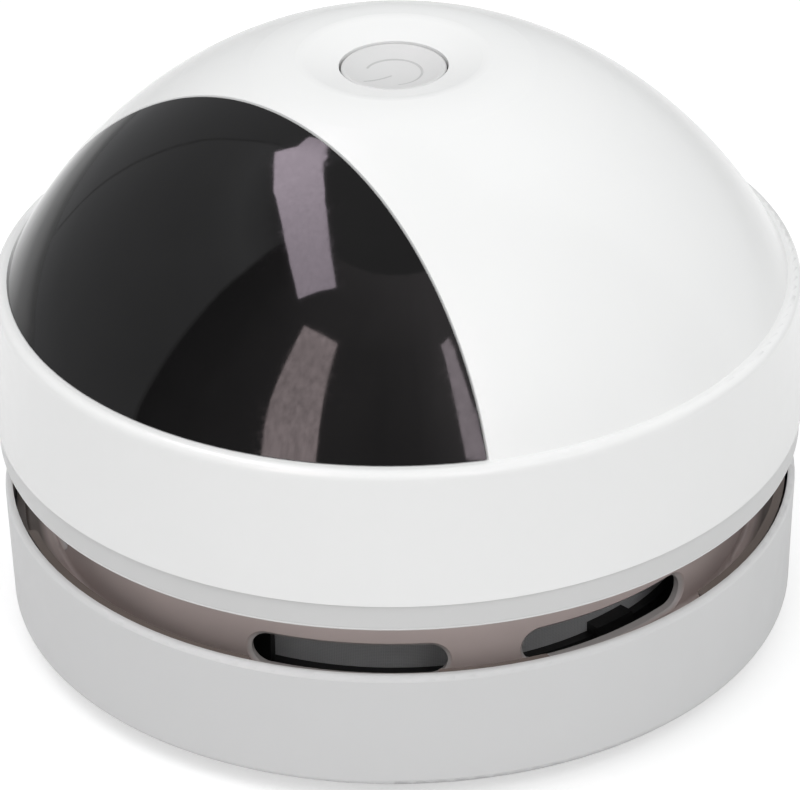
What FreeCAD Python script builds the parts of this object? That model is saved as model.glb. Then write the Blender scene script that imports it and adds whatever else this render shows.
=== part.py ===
import FreeCAD, Part
import math
import os
from types import SimpleNamespace

import Sketcher

# A desk vacuum: a domed upper unit that carries the fan lifts off a shallow dust cup.
# Lengths are millimetres and turns are degrees. Heights run up from the desk, the Z axis is
# the axis of the body, and turns are counted from the visor's side, -Y, towards +X.

DIMENSIONS = {
    # Outline, from the desk up
    "stand": 2.0,
    "base_height": 13.4,
    "vent_gap": 5.7,
    "lip_height": 3.0,
    "band_height": 14.8,
    "crown_height_share": 0.6047,
    "base_inset": 0.55,
    "base_draft": 0.35,
    "lip_inset": 0.3,
    "band_radius": 42.5,
    "band_draft": 0.55,
    "ledge_round": 1.0,
    "crown_share": 1.0094,
    "crown_spread": 32.3,
    "shoulder_share": 1.1835,
    # Clearances and overruns shared by many pieces
    "running_clearance": 0.03,
    "seat_gap": 0.1,
    "slip_gap": 0.3,
    "cut_overrun": 1.0,
    "root_depth": 0.6,
    "cutter_reach": 70.0,
    "full_turn": 360.0,
    "side_turn": 90.0,
    # Dust cup
    "floor_thickness": 2.2,
    "base_wall": 2.25,
    "base_foot_round": 0.8,
    "rim_thickness": 0.75,
    "rim_round": 0.6,
    "rebate_depth": 6.2,
    "floor_hole_margin": 2.7,
    "seat_ring_thickness": 1.2,
    "seat_ring_height": 2.9,
    "hook_height": 1.2,
    "hook_width": 14.0,
    "rib_thickness": 1.2,
    "rib_height": 3.0,
    "rib_count": 12,
    # Intake duct and its brush
    "flange_margin": 2.8,
    "flange_thickness": 1.6,
    "chimney_bore": 9.3,
    "chimney_wall": 1.4,
    "chimney_clearance": 1.4,
    "mouth_spread": 2.3,
    "mouth_height": 3.0,
    "mouth_flare": 4.0,
    "chimney_fillet": 1.5,
    "duct_boss_radius": 2.5,
    "duct_boss_height": 3.2,
    "duct_screw_margin": 2.7,
    "duct_screw_count": 3,
    "tuft_margin": 2.2,
    "tuft_radius": 0.9,
    "tuft_socket": 1.1,
    "tuft_lift": 0.4,
    "tuft_count": 20,
    # Feet and seal
    "pad_radius": 4.0,
    "pad_recess": 0.6,
    "pad_round": 0.5,
    "pad_ring_share": 0.8118,
    "pad_count": 4,
    "seal_thickness": 0.7,
    "seal_round": 0.25,
    "seal_margin": 0.2,
    # Filter cage, held in the cup by a bayonet
    "cage_share": 0.767,
    "cage_wall": 1.0,
    "cage_lip": 1.2,
    "cage_top_lip": 0.5,
    "cage_clearance": 0.3,
    "cage_lower_ring": 5.4,
    "cage_upper_ring": 2.0,
    "pillar_width": 4.3,
    "pillar_turn": 20.9,
    "lug_turn": 88.3,
    "lug_width": 8.6,
    "lug_height": 1.1,
    "lug_reach": 0.6,
    "tab_width": 12.0,
    "tab_height": 1.3,
    "tab_reach": 0.8,
    "lug_count": 3,
    "mesh_thickness": 0.3,
    "mesh_gap": 0.05,
    # Exhaust collar
    "cage_space": 3.4,
    "collar_wall": 1.2,
    "collar_groove": 1.2,
    "trough_wall": 0.9,
    "trough_floor": 1.5,
    "trough_round": 0.4,
    "trough_drop": 0.4,
    "slot_rise": 0.5,
    "slot_height": 3.75,
    "slot_sweep": 32.0,
    "slot_bevel": 0.55,
    "slot_pair_turn": 60.3,
    "duct_turn": 60.0,
    "slot_pair_spread": 21.7,
    "slot_pair_count": 3,
    # Chassis plate
    "plate_thickness": 2.4,
    "lip_round": 0.4,
    "spigot_height": 2.9,
    "spigot_wall": 1.7,
    "spigot_lead": 0.5,
    "motor_cup_wall": 1.5,
    "motor_cup_height": 6.5,
    "cradle_wall": 1.2,
    "cradle_height": 6.0,
    "board_post_radius": 2.3,
    "board_post_height": 3.8,
    "cage_seal_width": 1.4,
    "cage_seal_height": 0.5,
    # Dome shell
    "shell_wall": 2.0,
    "step_wall": 1.7,
    "post_root": 0.2,
    "brow_share": 0.373,
    "brow_spread": 20.0,
    "dish_round": 3.0,
    "dish_slope": 15.0,
    "dish_drop_share": 0.1039,
    "hub_radius": 11.5,
    "hub_thickness": 2.5,
    "post_radius": 3.0,
    "post_ring_share": 0.6824,
    "post_turn": 45.0,
    "post_count": 4,
    "pilot_depth": 9.0,
    "board_boss_radius": 2.6,
    "board_boss_ring": 13.5,
    "board_boss_count": 2,
    # Visor
    "visor_thickness": 1.5,
    "visor_setback_share": 0.4824,
    "visor_lean": 13.1,
    "visor_gap": 0.12,
    "visor_bevel": 0.15,
    "visor_inner_share": 0.2824,
    # Power button and its switch
    "button_bore": 5.6,
    "button_gap": 0.2,
    "button_recess": 0.1,
    "button_round": 0.3,
    "button_dip": 1.0,
    "button_flange": 1.4,
    "button_flange_thickness": 0.9,
    "stem_radius": 2.2,
    "stem_length": 1.5,
    "plunger_radius": 1.7,
    "plunger_length": 3.6,
    "plunger_height": 2.0,
    "plunger_gap": 0.2,
    "button_travel": 1.0,
    "switch_width": 6.4,
    "switch_height": 3.6,
    "switch_board_length": 34.0,
    "switch_board_width": 13.0,
    "board_thickness": 1.2,
    "board_round": 1.5,
    # Motor
    "can_share": 0.2847,
    "can_length_share": 0.76,
    "can_wall": 0.9,
    "bush_radius": 2.95,
    "bush_length": 3.0,
    "bush_nose": 1.2,
    "cap_thickness": 2.5,
    "cap_spigot": 1.5,
    "cap_boss_radius": 4.5,
    "cap_boss_height": 1.6,
    "shaft_radius": 1.0,
    "shaft_tail": 0.4,
    "magnet_thickness": 1.75,
    "magnet_height": 14.0,
    "magnet_sweep": 150.0,
    "magnet_count": 2,
    "core_gap": 0.5,
    "core_height": 12.0,
    "core_slot": 9.0,
    "core_neck": 3.2,
    "core_pole": 2.0,
    "core_count": 3,
    "commutator_radius": 3.0,
    "commutator_height": 3.0,
    "terminal_width": 2.2,
    "terminal_thickness": 0.5,
    "terminal_clearance": 0.8,
    "terminal_place": 7.5,
    "motor_screw_ring": 8.0,
    "motor_screw_count": 2,
    # Impeller
    "impeller_radius": 21.5,
    "impeller_plate": 1.0,
    "impeller_gap": 0.6,
    "hub_nose_radius": 4.2,
    "hub_nose_length": 7.8,
    "hub_nose_round": 2.5,
    "blade_count": 9,
    "blade_root_ring": 8.5,
    "blade_sweep": 38.0,
    "blade_curve": 17.0,
    "blade_thickness": 1.0,
    "blade_root_height": 6.8,
    "blade_tip_height": 4.8,
    # Battery and charging
    "cell_length_share": 0.7059,
    "cell_width_share": 0.1882,
    "cell_height_share": 0.9115,
    "cell_round": 1.8,
    "cell_gap": 0.2,
    "charge_board_width": 16.0,
    "charge_board_inset": 3.9,
    "charge_post_place": 6.2,
    "charge_post_margin": 3.5,
    "charge_board_space": 0.8,
    "socket_width": 8.94,
    "socket_height": 3.2,
    "socket_depth": 7.4,
    "socket_wall": 0.3,
    "socket_back": 1.2,
    "socket_recess": 1.0,
    "socket_tongue": 0.7,
    "port_margin": 0.25,
    "light_radius": 0.85,
    "light_place": 7.0,
    "light_block": 2.0,
    # Leads
    "lead_radius": 0.55,
    "battery_lead_place": 5.0,
    "battery_lead_bend": 1.5,
    "charge_lead_place": 2.5,
    "charge_lead_inset": 2.0,
    "charge_lead_bend": 3.0,
    "motor_lead_reach": 2.2,
    "motor_lead_rise_share": 0.4,
    "motor_lead_bend_share": 0.3,
    # Screws
    "screw_radius": 1.0,
    "screw_hole": 1.3,
    "pilot_gap": 0.05,
    "head_radius": 2.1,
    "head_height": 1.0,
    "head_space": 0.4,
    "head_sink": 1.4,
    "small_head_radius": 1.7,
    "cross_span": 2.2,
    "cross_width": 0.5,
    "cross_depth": 0.55,
    "screw_bite": 7.0,
    "short_bite": 3.0,
}

SHEET = "Dimensions"
# Edges are told apart by points along them, which must lie this near to where they should
EDGE_SPOTS = 5
NEAR = 1e-3


class Size:
    """A length, turn or count: its value now, and the expression on the sheet behind it."""

    def __init__(self, value, text):
        self.value = value
        self.text = text

    def __add__(self, other):
        other = as_size(other)
        return Size(self.value + other.value, f"({self.text} + {other.text})")

    def __sub__(self, other):
        other = as_size(other)
        return Size(self.value - other.value, f"({self.text} - {other.text})")

    def __mul__(self, other):
        other = as_size(other)
        return Size(self.value * other.value, f"({self.text} * {other.text})")

    def __truediv__(self, other):
        other = as_size(other)
        return Size(self.value / other.value, f"({self.text} / {other.text})")

    def __rsub__(self, other):
        return as_size(other) - self

    def __neg__(self):
        return as_size(0) - self

    __radd__ = __add__
    __rmul__ = __mul__


def as_size(number):
    """Let a plain count or zero stand where a Size is wanted."""
    return number if isinstance(number, Size) else Size(float(number), str(float(number)))


def sine(turn):
    return Size(math.sin(math.radians(turn.value)), f"sin({turn.text})")


def cosine(turn):
    return Size(math.cos(math.radians(turn.value)), f"cos({turn.text})")


def tangent(turn):
    return sine(turn) / cosine(turn)


def root(square):
    return Size(math.sqrt(square.value), f"sqrt({square.text})")


doc = FreeCAD.newDocument("DeskVacuum")
sheet = doc.addObject("Spreadsheet::Sheet", SHEET)
for row, (word, number) in enumerate(DIMENSIONS.items(), start=1):
    sheet.set(f"A{row}", word)
    sheet.set(f"B{row}", str(number))
    sheet.setAlias(f"B{row}", word)
doc.recompute()
d = SimpleNamespace(**{word: Size(number, f"{SHEET}.{word}") for word, number in DIMENSIONS.items()})

parts = []


# Sizes of the outline that follow the band's
base_radius = d.band_radius - d.base_inset
lip_radius = d.band_radius - d.lip_inset
crown_radius = d.band_radius * d.crown_share
crown_height = d.band_radius * d.crown_height_share
shoulder_radius = d.band_radius * d.shoulder_share
cage_radius = d.band_radius * d.cage_share

# Heights that several pieces meet at
rim_top = d.stand + d.base_height
plate_bottom = rim_top + d.vent_gap
band_bottom = plate_bottom + d.lip_height
crease = band_bottom + d.band_height
floor_top = d.stand + d.floor_thickness
flange_top = floor_top + d.flange_thickness
seal_ledge = rim_top - d.rebate_depth
collar_foot = seal_ledge + d.seal_thickness + d.seat_gap
trough_floor = collar_foot + d.trough_floor
cage_foot = floor_top + d.seat_gap
cage_top = plate_bottom - d.cage_seal_height - d.cage_clearance
plate_top = plate_bottom + d.plate_thickness
spigot_top = band_bottom + d.spigot_height
charge_board_bottom = plate_top + d.board_post_height
bore_rim = crease + crown_height * (1 - d.dish_drop_share)
hub_bottom = bore_rim - d.hub_thickness
button_top = bore_rim - d.button_recess
flange_bottom = hub_bottom - d.slip_gap - d.button_flange_thickness
stem_bottom = flange_bottom - d.stem_length
plunger_top = stem_bottom - d.seat_gap
switch_top = plunger_top - d.plunger_height
board_top = switch_top - d.switch_height
board_bottom = board_top - d.board_thickness
can_floor = plate_top + d.can_wall
can_top = plate_top + (board_bottom - plate_top) * d.can_length_share
cap_foot = can_top - d.cap_spigot
cap_top = can_top + d.cap_thickness
cap_boss_top = cap_top + d.cap_boss_height
cell_foot = plate_top + d.seat_gap
cell_height = (board_bottom - plate_top) * d.cell_height_share
core_middle = (can_floor + cap_foot) / 2
disc_top = plate_bottom - d.impeller_gap
nose_foot = disc_top - d.hub_nose_length
chimney_top = nose_foot - d.chimney_clearance

# Radii and places that several pieces share
base_foot_radius = base_radius - d.base_draft
rebate_radius = base_radius - d.rim_thickness
base_bore = base_radius - d.base_wall
pad_ring = d.band_radius * d.pad_ring_share
band_top_radius = d.band_radius - d.band_draft
band_bore = band_top_radius - d.shell_wall + d.band_draft / 2
collar_bore = cage_radius + d.cage_space
collar_radius = collar_bore + d.collar_wall
trough_radius = rebate_radius - d.slip_gap
spigot_radius = band_bore - d.seat_gap
post_ring = d.band_radius * d.post_ring_share
visor_setback = d.band_radius * d.visor_setback_share
visor_inner_radius = d.band_radius * d.visor_inner_share
cage_bore = cage_radius - d.cage_wall
lip_bore = cage_bore - d.cage_lip
hook_bore = cage_radius + d.slip_gap
ring_bore = hook_bore + d.tab_reach
ring_radius = ring_bore + d.seat_ring_thickness
mouth_radius = d.chimney_bore + d.mouth_spread
tuft_ring = mouth_radius + d.tuft_margin
floor_hole_radius = tuft_ring + d.floor_hole_margin
duct_screw_ring = floor_hole_radius + d.duct_screw_margin
flange_radius = duct_screw_ring + d.flange_margin
can_radius = d.band_radius * d.can_share
can_bore = can_radius - d.can_wall
magnet_radius = can_bore - d.pilot_gap
bush_hole = d.bush_radius + d.pilot_gap
shaft_bore = d.shaft_radius + d.running_clearance
pilot_radius = d.screw_radius + d.pilot_gap
head_pocket = d.head_radius + d.head_space
motor_cup_bore = can_radius + d.seat_gap
motor_cup_radius = motor_cup_bore + d.motor_cup_wall
cell_length = d.band_radius * d.cell_length_share
cell_width = d.band_radius * d.cell_width_share
cradle_front = motor_cup_radius + d.cradle_wall + d.cell_gap
cradle_back = cradle_front + cell_width + d.cell_gap * 2
charge_board_front = cradle_back + d.cradle_wall + d.charge_board_space
charge_board_back = d.band_radius - d.charge_board_inset
charge_post_back = charge_board_front + d.charge_post_margin
terminal_face = d.terminal_place + d.terminal_thickness

# The dome's outline is two arcs that run into each other: a crown on the axis over a shoulder
crown_centre = crease + crown_height - crown_radius
shoulder_across = (crown_radius - shoulder_radius) * sine(d.crown_spread)
shoulder_centre = crown_centre + (crown_radius - shoulder_radius) * cosine(d.crown_spread)


def crown_height_at(depth, across):
    """Height of the crown, a depth under its surface, at a radius."""
    reach = crown_radius - depth
    return crown_centre + root(reach * reach - across * across)


def shoulder_radius_at(depth, height):
    """Radius of the shoulder, a depth under its surface, at a height."""
    reach = shoulder_radius - depth
    rise = height - shoulder_centre
    return shoulder_across + root(reach * reach - rise * rise)


def shoulder_height_at(depth, across):
    """Height of the shoulder, a depth under its surface, at a radius."""
    reach = shoulder_radius - depth
    run = across - shoulder_across
    return shoulder_centre + root(reach * reach - run * run)


def dome_joint(depth):
    """Where crown and shoulder meet, a depth under the surface."""
    reach = crown_radius - depth
    return reach * sine(d.crown_spread), crown_centre + reach * cosine(d.crown_spread)


def on_dome(spot):
    """Whether a point lies on the dome's outside."""
    across = math.hypot(spot.x, spot.y)
    from_crown = math.hypot(across, spot.z - crown_centre.value)
    from_shoulder = math.hypot(across - shoulder_across.value, spot.z - shoulder_centre.value)
    crown_gap = from_crown - crown_radius.value
    shoulder_gap = from_shoulder - shoulder_radius.value
    return min(abs(crown_gap), abs(shoulder_gap)) < NEAR


def origin_feature(body, role):
    return next(item for item in body.Origin.OriginFeatures if item.Role == role)


def new_body(name):
    body = doc.addObject("PartDesign::Body", name)
    body.Label = name
    return body


def new_sketch(body, role, height=None, turn=None, place=None):
    """A sketch on an origin plane: raised if it is level, turned about the axis if upright.

    A place moves an upright sketch to level coordinates of its own, without turning it.
    """
    sketch = body.newObject("Sketcher::SketchObject", body.Name + "_sketch")
    sketch.AttachmentSupport = (origin_feature(body, role), [""])
    sketch.MapMode = "FlatFace"
    if height is not None:
        sketch.setExpression("AttachmentOffset.Base.z", as_size(height).text)
    if place is not None:
        sketch.setExpression("AttachmentOffset.Base.x", as_size(place[0]).text)
        sketch.setExpression("AttachmentOffset.Base.z", (-place[1]).text)
    if turn is not None:
        spin = FreeCAD.Rotation(FreeCAD.Vector(0, 1, 0), turn.value)
        sketch.AttachmentOffset = FreeCAD.Placement(FreeCAD.Vector(0, 0, 0), spin)
        sketch.setExpression("AttachmentOffset.Rotation.Angle", turn.text)
    return sketch


def fix(sketch, kind, places, size):
    """Add a dimension and bind it to its expression."""
    number = sketch.addConstraint(Sketcher.Constraint(kind, *places, size.value))
    sketch.setExpression(f"Constraints[{number}]", size.text)


def pin(sketch, side, point, across, up):
    """Fix one point of a side by its two coordinates."""
    for kind, axis, size in (("DistanceX", -2, across), ("DistanceY", -1, up)):
        if size.value == 0:
            sketch.addConstraint(Sketcher.Constraint("PointOnObject", side, point, axis))
        else:
            fix(sketch, kind, (-1, 1, side, point), size)


def bent_side(here, there, bend):
    """The arc from one corner to the next, and which of its ends is the first corner."""
    half = (there - here) * 0.5
    lift = math.sqrt(max(bend * bend - half.Length * half.Length, 0))
    left = FreeCAD.Vector(-half.y, half.x, 0).normalize()
    centre = here + half + left * math.copysign(lift, bend)
    first, last = (here, there) if bend > 0 else (there, here)
    start = math.atan2(first.y - centre.y, first.x - centre.x)
    end = math.atan2(last.y - centre.y, last.x - centre.x)
    end = end + 2 * math.pi if end < start else end
    circle = Part.Circle(centre, FreeCAD.Vector(0, 0, 1), abs(bend))
    return Part.ArcOfCircle(circle, start, end), (1, 2) if bend > 0 else (2, 1)


def outline(sketch, *corners, closed=True):
    """Close a loop through corners (across, up) or (across, up, bend), or leave it open.

    A bend is the radius of the arc that leads to the next corner, positive where it turns left.
    """
    corners = [tuple(as_size(item) for item in corner) for corner in corners]
    points = [FreeCAD.Vector(corner[0].value, corner[1].value, 0) for corner in corners]
    first = sketch.GeometryCount
    ends = []
    sides = corners if closed else corners[:-1]
    for index, corner in enumerate(sides):
        here, there = points[index], points[(index + 1) % len(points)]
        if len(corner) == 3:
            side, order = bent_side(here, there, corner[2].value)
        else:
            side, order = Part.LineSegment(here, there), (1, 2)
        sketch.addGeometry(side, False)
        ends.append(order)
    for index, corner in enumerate(sides):
        after = (index + 1) % len(corners)
        if after < len(sides):
            joint = (first + index, ends[index][1], first + after, ends[after][0])
            sketch.addConstraint(Sketcher.Constraint("Coincident", *joint))
        else:
            pin(sketch, first + index, ends[index][1], *corners[after][:2])
        pin(sketch, first + index, ends[index][0], corner[0], corner[1])
        if len(corner) == 3:
            bend = corner[2] if corner[2].value > 0 else -corner[2]
            fix(sketch, "Radius", (first + index,), bend)


def round_hole(sketch, across, up, radius):
    """A circle about a point."""
    across, up = as_size(across), as_size(up)
    centre = FreeCAD.Vector(across.value, up.value, 0)
    circle = sketch.GeometryCount
    sketch.addGeometry(Part.Circle(centre, FreeCAD.Vector(0, 0, 1), radius.value), False)
    pin(sketch, circle, 3, across, up)
    fix(sketch, "Radius", (circle,), radius)


def polar(ring, turn):
    """Level coordinates of a point on a ring, at a turn from the visor's side."""
    return ring * sine(turn), -ring * cosine(turn)


def turn_across(length, ring):
    """The turn that a length spans on a ring."""
    return length / ring * as_size(math.degrees(1))


def sector(sketch, inner, outer, turn, width):
    """A piece of a ring, centred on a turn."""
    low, high = turn - width / 2, turn + width / 2
    outline(
        sketch,
        (*polar(inner, low),),
        (*polar(outer, low), outer),
        (*polar(outer, high),),
        (*polar(inner, high), -inner),
    )


def rounded_box(sketch, left, bottom, right, top, corner):
    """A rectangle with round corners."""
    outline(
        sketch,
        (left + corner, bottom),
        (right - corner, bottom, corner),
        (right, bottom + corner),
        (right, top - corner, corner),
        (right - corner, top),
        (left + corner, top, corner),
        (left, top - corner),
        (left, bottom + corner, corner),
    )


def volume_of(body):
    return body.Shape.Volume if not body.Shape.isNull() else 0


def add_feature(body, kind, sketch, grows, **sizes):
    """Add a feature made from a sketch, and check that it did what it should."""
    doc.recompute()
    before = volume_of(body)
    feature = body.newObject(kind, body.Name + "_" + kind.split("::")[1].lower())
    feature.Profile = sketch
    sketch.Visibility = False
    backwards = sizes.pop("backwards", False)
    if backwards:
        feature.Reversed = True
    if kind.endswith("Revolution") or kind.endswith("Groove"):
        feature.ReferenceAxis = (sketch, ["V_Axis"])
    for name, size in sizes.items():
        feature.setExpression(name, as_size(size).text)
    doc.recompute()
    if (volume_of(body) > before) != grows:
        raise RuntimeError(f"{body.Label}: {feature.Name} did nothing")
    return feature


def pad(body, sketch, length, backwards=False):
    return add_feature(body, "PartDesign::Pad", sketch, True, Length=length, backwards=backwards)


def pocket(body, sketch, length, backwards=False):
    """Cut against the sketch's normal, or along it if backwards."""
    return add_feature(body, "PartDesign::Pocket", sketch, False, Length=length, backwards=backwards)


def repeat(body, features, count):
    """Repeat features evenly about the axis."""
    pattern = body.newObject("PartDesign::PolarPattern", body.Name + "_pattern")
    pattern.Originals = features
    pattern.Axis = (origin_feature(body, "Z_Axis"), [""])
    pattern.Angle = 360
    pattern.setExpression("Occurrences", as_size(count).text)
    body.Tip = pattern
    doc.recompute()
    return pattern


def mirror(body, features):
    """Repeat features on the other side of the visor's plane of symmetry."""
    pattern = body.newObject("PartDesign::Mirrored", body.Name + "_mirror")
    pattern.Originals = features
    pattern.MirrorPlane = (origin_feature(body, "YZ_Plane"), [""])
    body.Tip = pattern
    doc.recompute()
    return pattern


def revolve(body, *corners, place=None):
    """Turn an upright outline about the body's axis, or about an axis through a place."""
    sketch = new_sketch(body, "XZ_Plane", place=place)
    outline(sketch, *corners)
    return add_feature(body, "PartDesign::Revolution", sketch, True)


def groove(body, *corners):
    sketch = new_sketch(body, "XZ_Plane")
    outline(sketch, *corners)
    return add_feature(body, "PartDesign::Groove", sketch, False)


def keep(item, label=None):
    """Count an object among the pieces that are written out."""
    if label:
        item.Label = label
    parts.append(item)
    return item


def turned(name, *corners, place=None, count=None):
    """A piece turned in one go, repeated about the axis where a count is given."""
    body = new_body(name)
    feature = revolve(body, *corners, place=place)
    if count is not None:
        repeat(body, [feature], count)
    return keep(body)


def ring_of_holes(body, height, depth, ring, turn, radius, count, backwards=True):
    """Round pockets, up from a level, evenly about the axis."""
    sketch = new_sketch(body, "XY_Plane", height)
    round_hole(sketch, *polar(ring, turn), radius)
    repeat(body, [pocket(body, sketch, depth, backwards)], count)


def joined(kind, name, base, tool):
    """A boolean of two objects."""
    item = doc.addObject(kind, name)
    item.Base = base
    item.Tool = tool
    doc.recompute()
    if item.Shape.isNull() or item.Shape.Volume == 0:
        raise RuntimeError(f"{name} came out empty")
    return item


def base_shell():
    """The dust cup's outer shell: rim, floor, seat for the cage and ledge for the seal."""
    body = new_body("base_shell")
    revolve(
        body,
        (floor_hole_radius, d.stand),
        (base_foot_radius - d.base_foot_round, d.stand, d.base_foot_round),
        (base_foot_radius, d.stand + d.base_foot_round),
        (base_radius, rim_top - d.rim_round, d.rim_round),
        (base_radius - d.rim_round, rim_top),
        (rebate_radius, rim_top),
        (rebate_radius, seal_ledge),
        (base_bore, seal_ledge),
        (base_bore, floor_top),
        (floor_hole_radius, floor_top),
    )
    ring_root = floor_top - d.root_depth
    ring_top = floor_top + d.seat_ring_height
    revolve(
        body,
        (ring_bore, ring_root),
        (ring_radius, ring_root),
        (ring_radius, ring_top),
        (ring_bore, ring_top),
    )
    sketch = new_sketch(body, "XY_Plane", ring_top)
    sector(sketch, hook_bore, ring_radius - d.root_depth, d.lug_turn, d.hook_width)
    repeat(body, [pad(body, sketch, d.hook_height, backwards=True)], d.lug_count)
    sketch = new_sketch(body, "XY_Plane", ring_root)
    rib_inner = ring_radius - d.root_depth
    rib_outer = base_bore + d.root_depth
    outline(
        sketch,
        (-d.rib_thickness / 2, -rib_outer),
        (d.rib_thickness / 2, -rib_outer),
        (d.rib_thickness / 2, -rib_inner),
        (-d.rib_thickness / 2, -rib_inner),
    )
    repeat(body, [pad(body, sketch, d.root_depth + d.rib_height)], d.rib_count)
    screw_turn = d.duct_turn
    ring_of_holes(
        body, d.stand, d.head_sink, duct_screw_ring, screw_turn, head_pocket, d.duct_screw_count
    )
    through = d.floor_thickness + d.cut_overrun
    ring_of_holes(
        body, d.stand, through, duct_screw_ring, screw_turn, d.screw_hole, d.duct_screw_count
    )
    pad_hole = d.pad_radius + d.seat_gap
    ring_of_holes(body, d.stand, d.pad_recess, pad_ring, d.post_turn, pad_hole, d.pad_count)
    return keep(body)


def intake_duct():
    """The duct in the middle of the cup: flared mouth, chimney and a flange for the brush."""
    body = new_body("intake_duct")
    chimney_radius = d.chimney_bore + d.chimney_wall
    revolve(
        body,
        (mouth_radius, floor_top),
        (flange_radius, floor_top),
        (flange_radius, flange_top),
        (chimney_radius + d.chimney_fillet, flange_top, -d.chimney_fillet),
        (chimney_radius, flange_top + d.chimney_fillet),
        (chimney_radius, chimney_top),
        (d.chimney_bore, chimney_top),
        (d.chimney_bore, floor_top + d.mouth_height, d.mouth_flare),
    )
    sketch = new_sketch(body, "XY_Plane", flange_top - d.root_depth)
    round_hole(sketch, *polar(duct_screw_ring, d.duct_turn), d.duct_boss_radius)
    boss = pad(body, sketch, d.root_depth + d.duct_boss_height)
    repeat(body, [boss], d.duct_screw_count)
    bite = d.short_bite + d.cut_overrun
    ring_of_holes(
        body, floor_top, bite, duct_screw_ring, d.duct_turn, pilot_radius, d.duct_screw_count
    )
    socket = d.tuft_radius + d.pilot_gap
    turn = d.duct_turn
    ring_of_holes(body, floor_top, d.tuft_socket, tuft_ring, turn, socket, d.tuft_count)
    return keep(body)


def cross(sketch, place):
    """The outline of a cross, for a driver, about a place."""
    across, up = place
    near, far = d.cross_width / 2, d.cross_span / 2
    steps = ((-near, -far), (near, -far), (near, -near), (far, -near), (far, near), (near, near))
    corners = steps + tuple((-x, -y) for x, y in steps)
    outline(sketch, *[(across + x, up + y) for x, y in corners])


def screws(name, under_head, bite, ring, turn, count):
    """Pan head screws driven up from below, repeated about the axis."""
    body = new_body(name)
    place = polar(ring, turn)
    head_foot = under_head - d.head_height
    round_over = d.head_height / 2
    blank = revolve(
        body,
        (0, head_foot),
        (d.head_radius - round_over, head_foot, round_over),
        (d.head_radius, head_foot + round_over),
        (d.head_radius, under_head),
        (d.screw_radius, under_head),
        (d.screw_radius, under_head + bite - d.screw_radius),
        (0, under_head + bite),
        place=place,
    )
    sketch = new_sketch(body, "XY_Plane", head_foot)
    cross(sketch, place)
    recess = pocket(body, sketch, d.cross_depth, backwards=True)
    repeat(body, [blank, recess], count)
    return keep(body)


def cup_pieces():
    """What the cup carries: brush, screws, feet and seal."""
    tuft_top = floor_top + d.tuft_socket - d.pilot_gap
    turned(
        "brush_tufts",
        (0, d.tuft_lift),
        (d.tuft_radius, d.tuft_lift),
        (d.tuft_radius, tuft_top),
        (0, tuft_top),
        place=polar(tuft_ring, d.duct_turn),
        count=d.tuft_count,
    )
    bite = floor_top - d.stand - d.head_sink + d.short_bite
    head_seat = d.stand + d.head_sink
    screws("duct_screws", head_seat, bite, duct_screw_ring, d.duct_turn, d.duct_screw_count)
    pad_top = d.stand + d.pad_recess
    turned(
        "rubber_feet",
        (0, 0),
        (d.pad_radius - d.pad_round, 0, d.pad_round),
        (d.pad_radius, d.pad_round),
        (d.pad_radius, pad_top),
        (0, pad_top),
        place=polar(pad_ring, d.post_turn),
        count=d.pad_count,
    )
    seal_top = seal_ledge + d.seal_thickness
    seal_inner = base_bore + d.seal_margin
    seal_outer = rebate_radius - d.seal_margin
    turned(
        "cup_seal",
        (seal_inner, seal_ledge),
        (seal_outer, seal_ledge),
        (seal_outer, seal_top - d.seal_round, d.seal_round),
        (seal_outer - d.seal_round, seal_top),
        (seal_inner + d.seal_round, seal_top, d.seal_round),
        (seal_inner, seal_top - d.seal_round),
    )


def filter_cage():
    """The ring that holds the mesh, with bayonet tabs at its foot and lugs to grip above."""
    body = new_body("filter_cage")
    lower_ledge = cage_foot + d.cage_lip
    upper_ledge = cage_top - d.cage_top_lip
    revolve(
        body,
        (lip_bore, cage_foot),
        (cage_radius, cage_foot),
        (cage_radius, cage_top),
        (lip_bore, cage_top),
        (lip_bore, upper_ledge),
        (cage_bore, upper_ledge),
        (cage_bore, lower_ledge),
        (lip_bore, lower_ledge),
    )
    window_foot = cage_foot + d.cage_lower_ring
    window_top = cage_top - d.cage_upper_ring
    sketch = new_sketch(body, "XY_Plane", window_foot)
    spacing = d.full_turn / d.lug_count
    opening = spacing - d.pillar_width
    over = d.cut_overrun
    sector(sketch, cage_bore - over, cage_radius + over, d.pillar_turn + spacing / 2, opening)
    windows = pocket(body, sketch, window_top - window_foot, backwards=True)
    repeat(body, [windows], d.lug_count)
    sketch = new_sketch(body, "XY_Plane", window_foot - d.lug_height)
    sector(sketch, cage_bore, cage_radius + d.lug_reach, d.lug_turn, d.lug_width)
    lug = pad(body, sketch, d.lug_height * 2)
    sketch = new_sketch(body, "XY_Plane", cage_foot)
    sector(sketch, cage_bore, cage_radius + d.tab_reach, d.lug_turn, d.tab_width)
    tab = pad(body, sketch, d.tab_height)
    repeat(body, [lug, tab], d.lug_count)
    keep(body)
    mesh_radius = cage_bore - d.mesh_gap
    mesh_bore = mesh_radius - d.mesh_thickness
    turned(
        "filter_mesh",
        (mesh_bore, lower_ledge + d.mesh_gap),
        (mesh_radius, lower_ledge + d.mesh_gap),
        (mesh_radius, upper_ledge - d.mesh_gap),
        (mesh_bore, upper_ledge - d.mesh_gap),
    )
    return body


def edges_where(shape, test):
    """Names of the edges along which a test holds."""
    names = []
    for number, edge in enumerate(shape.Edges, start=1):
        if all(test(spot) for spot in edge.discretize(EDGE_SPOTS)):
            names.append(f"Edge{number}")
    return names


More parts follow.
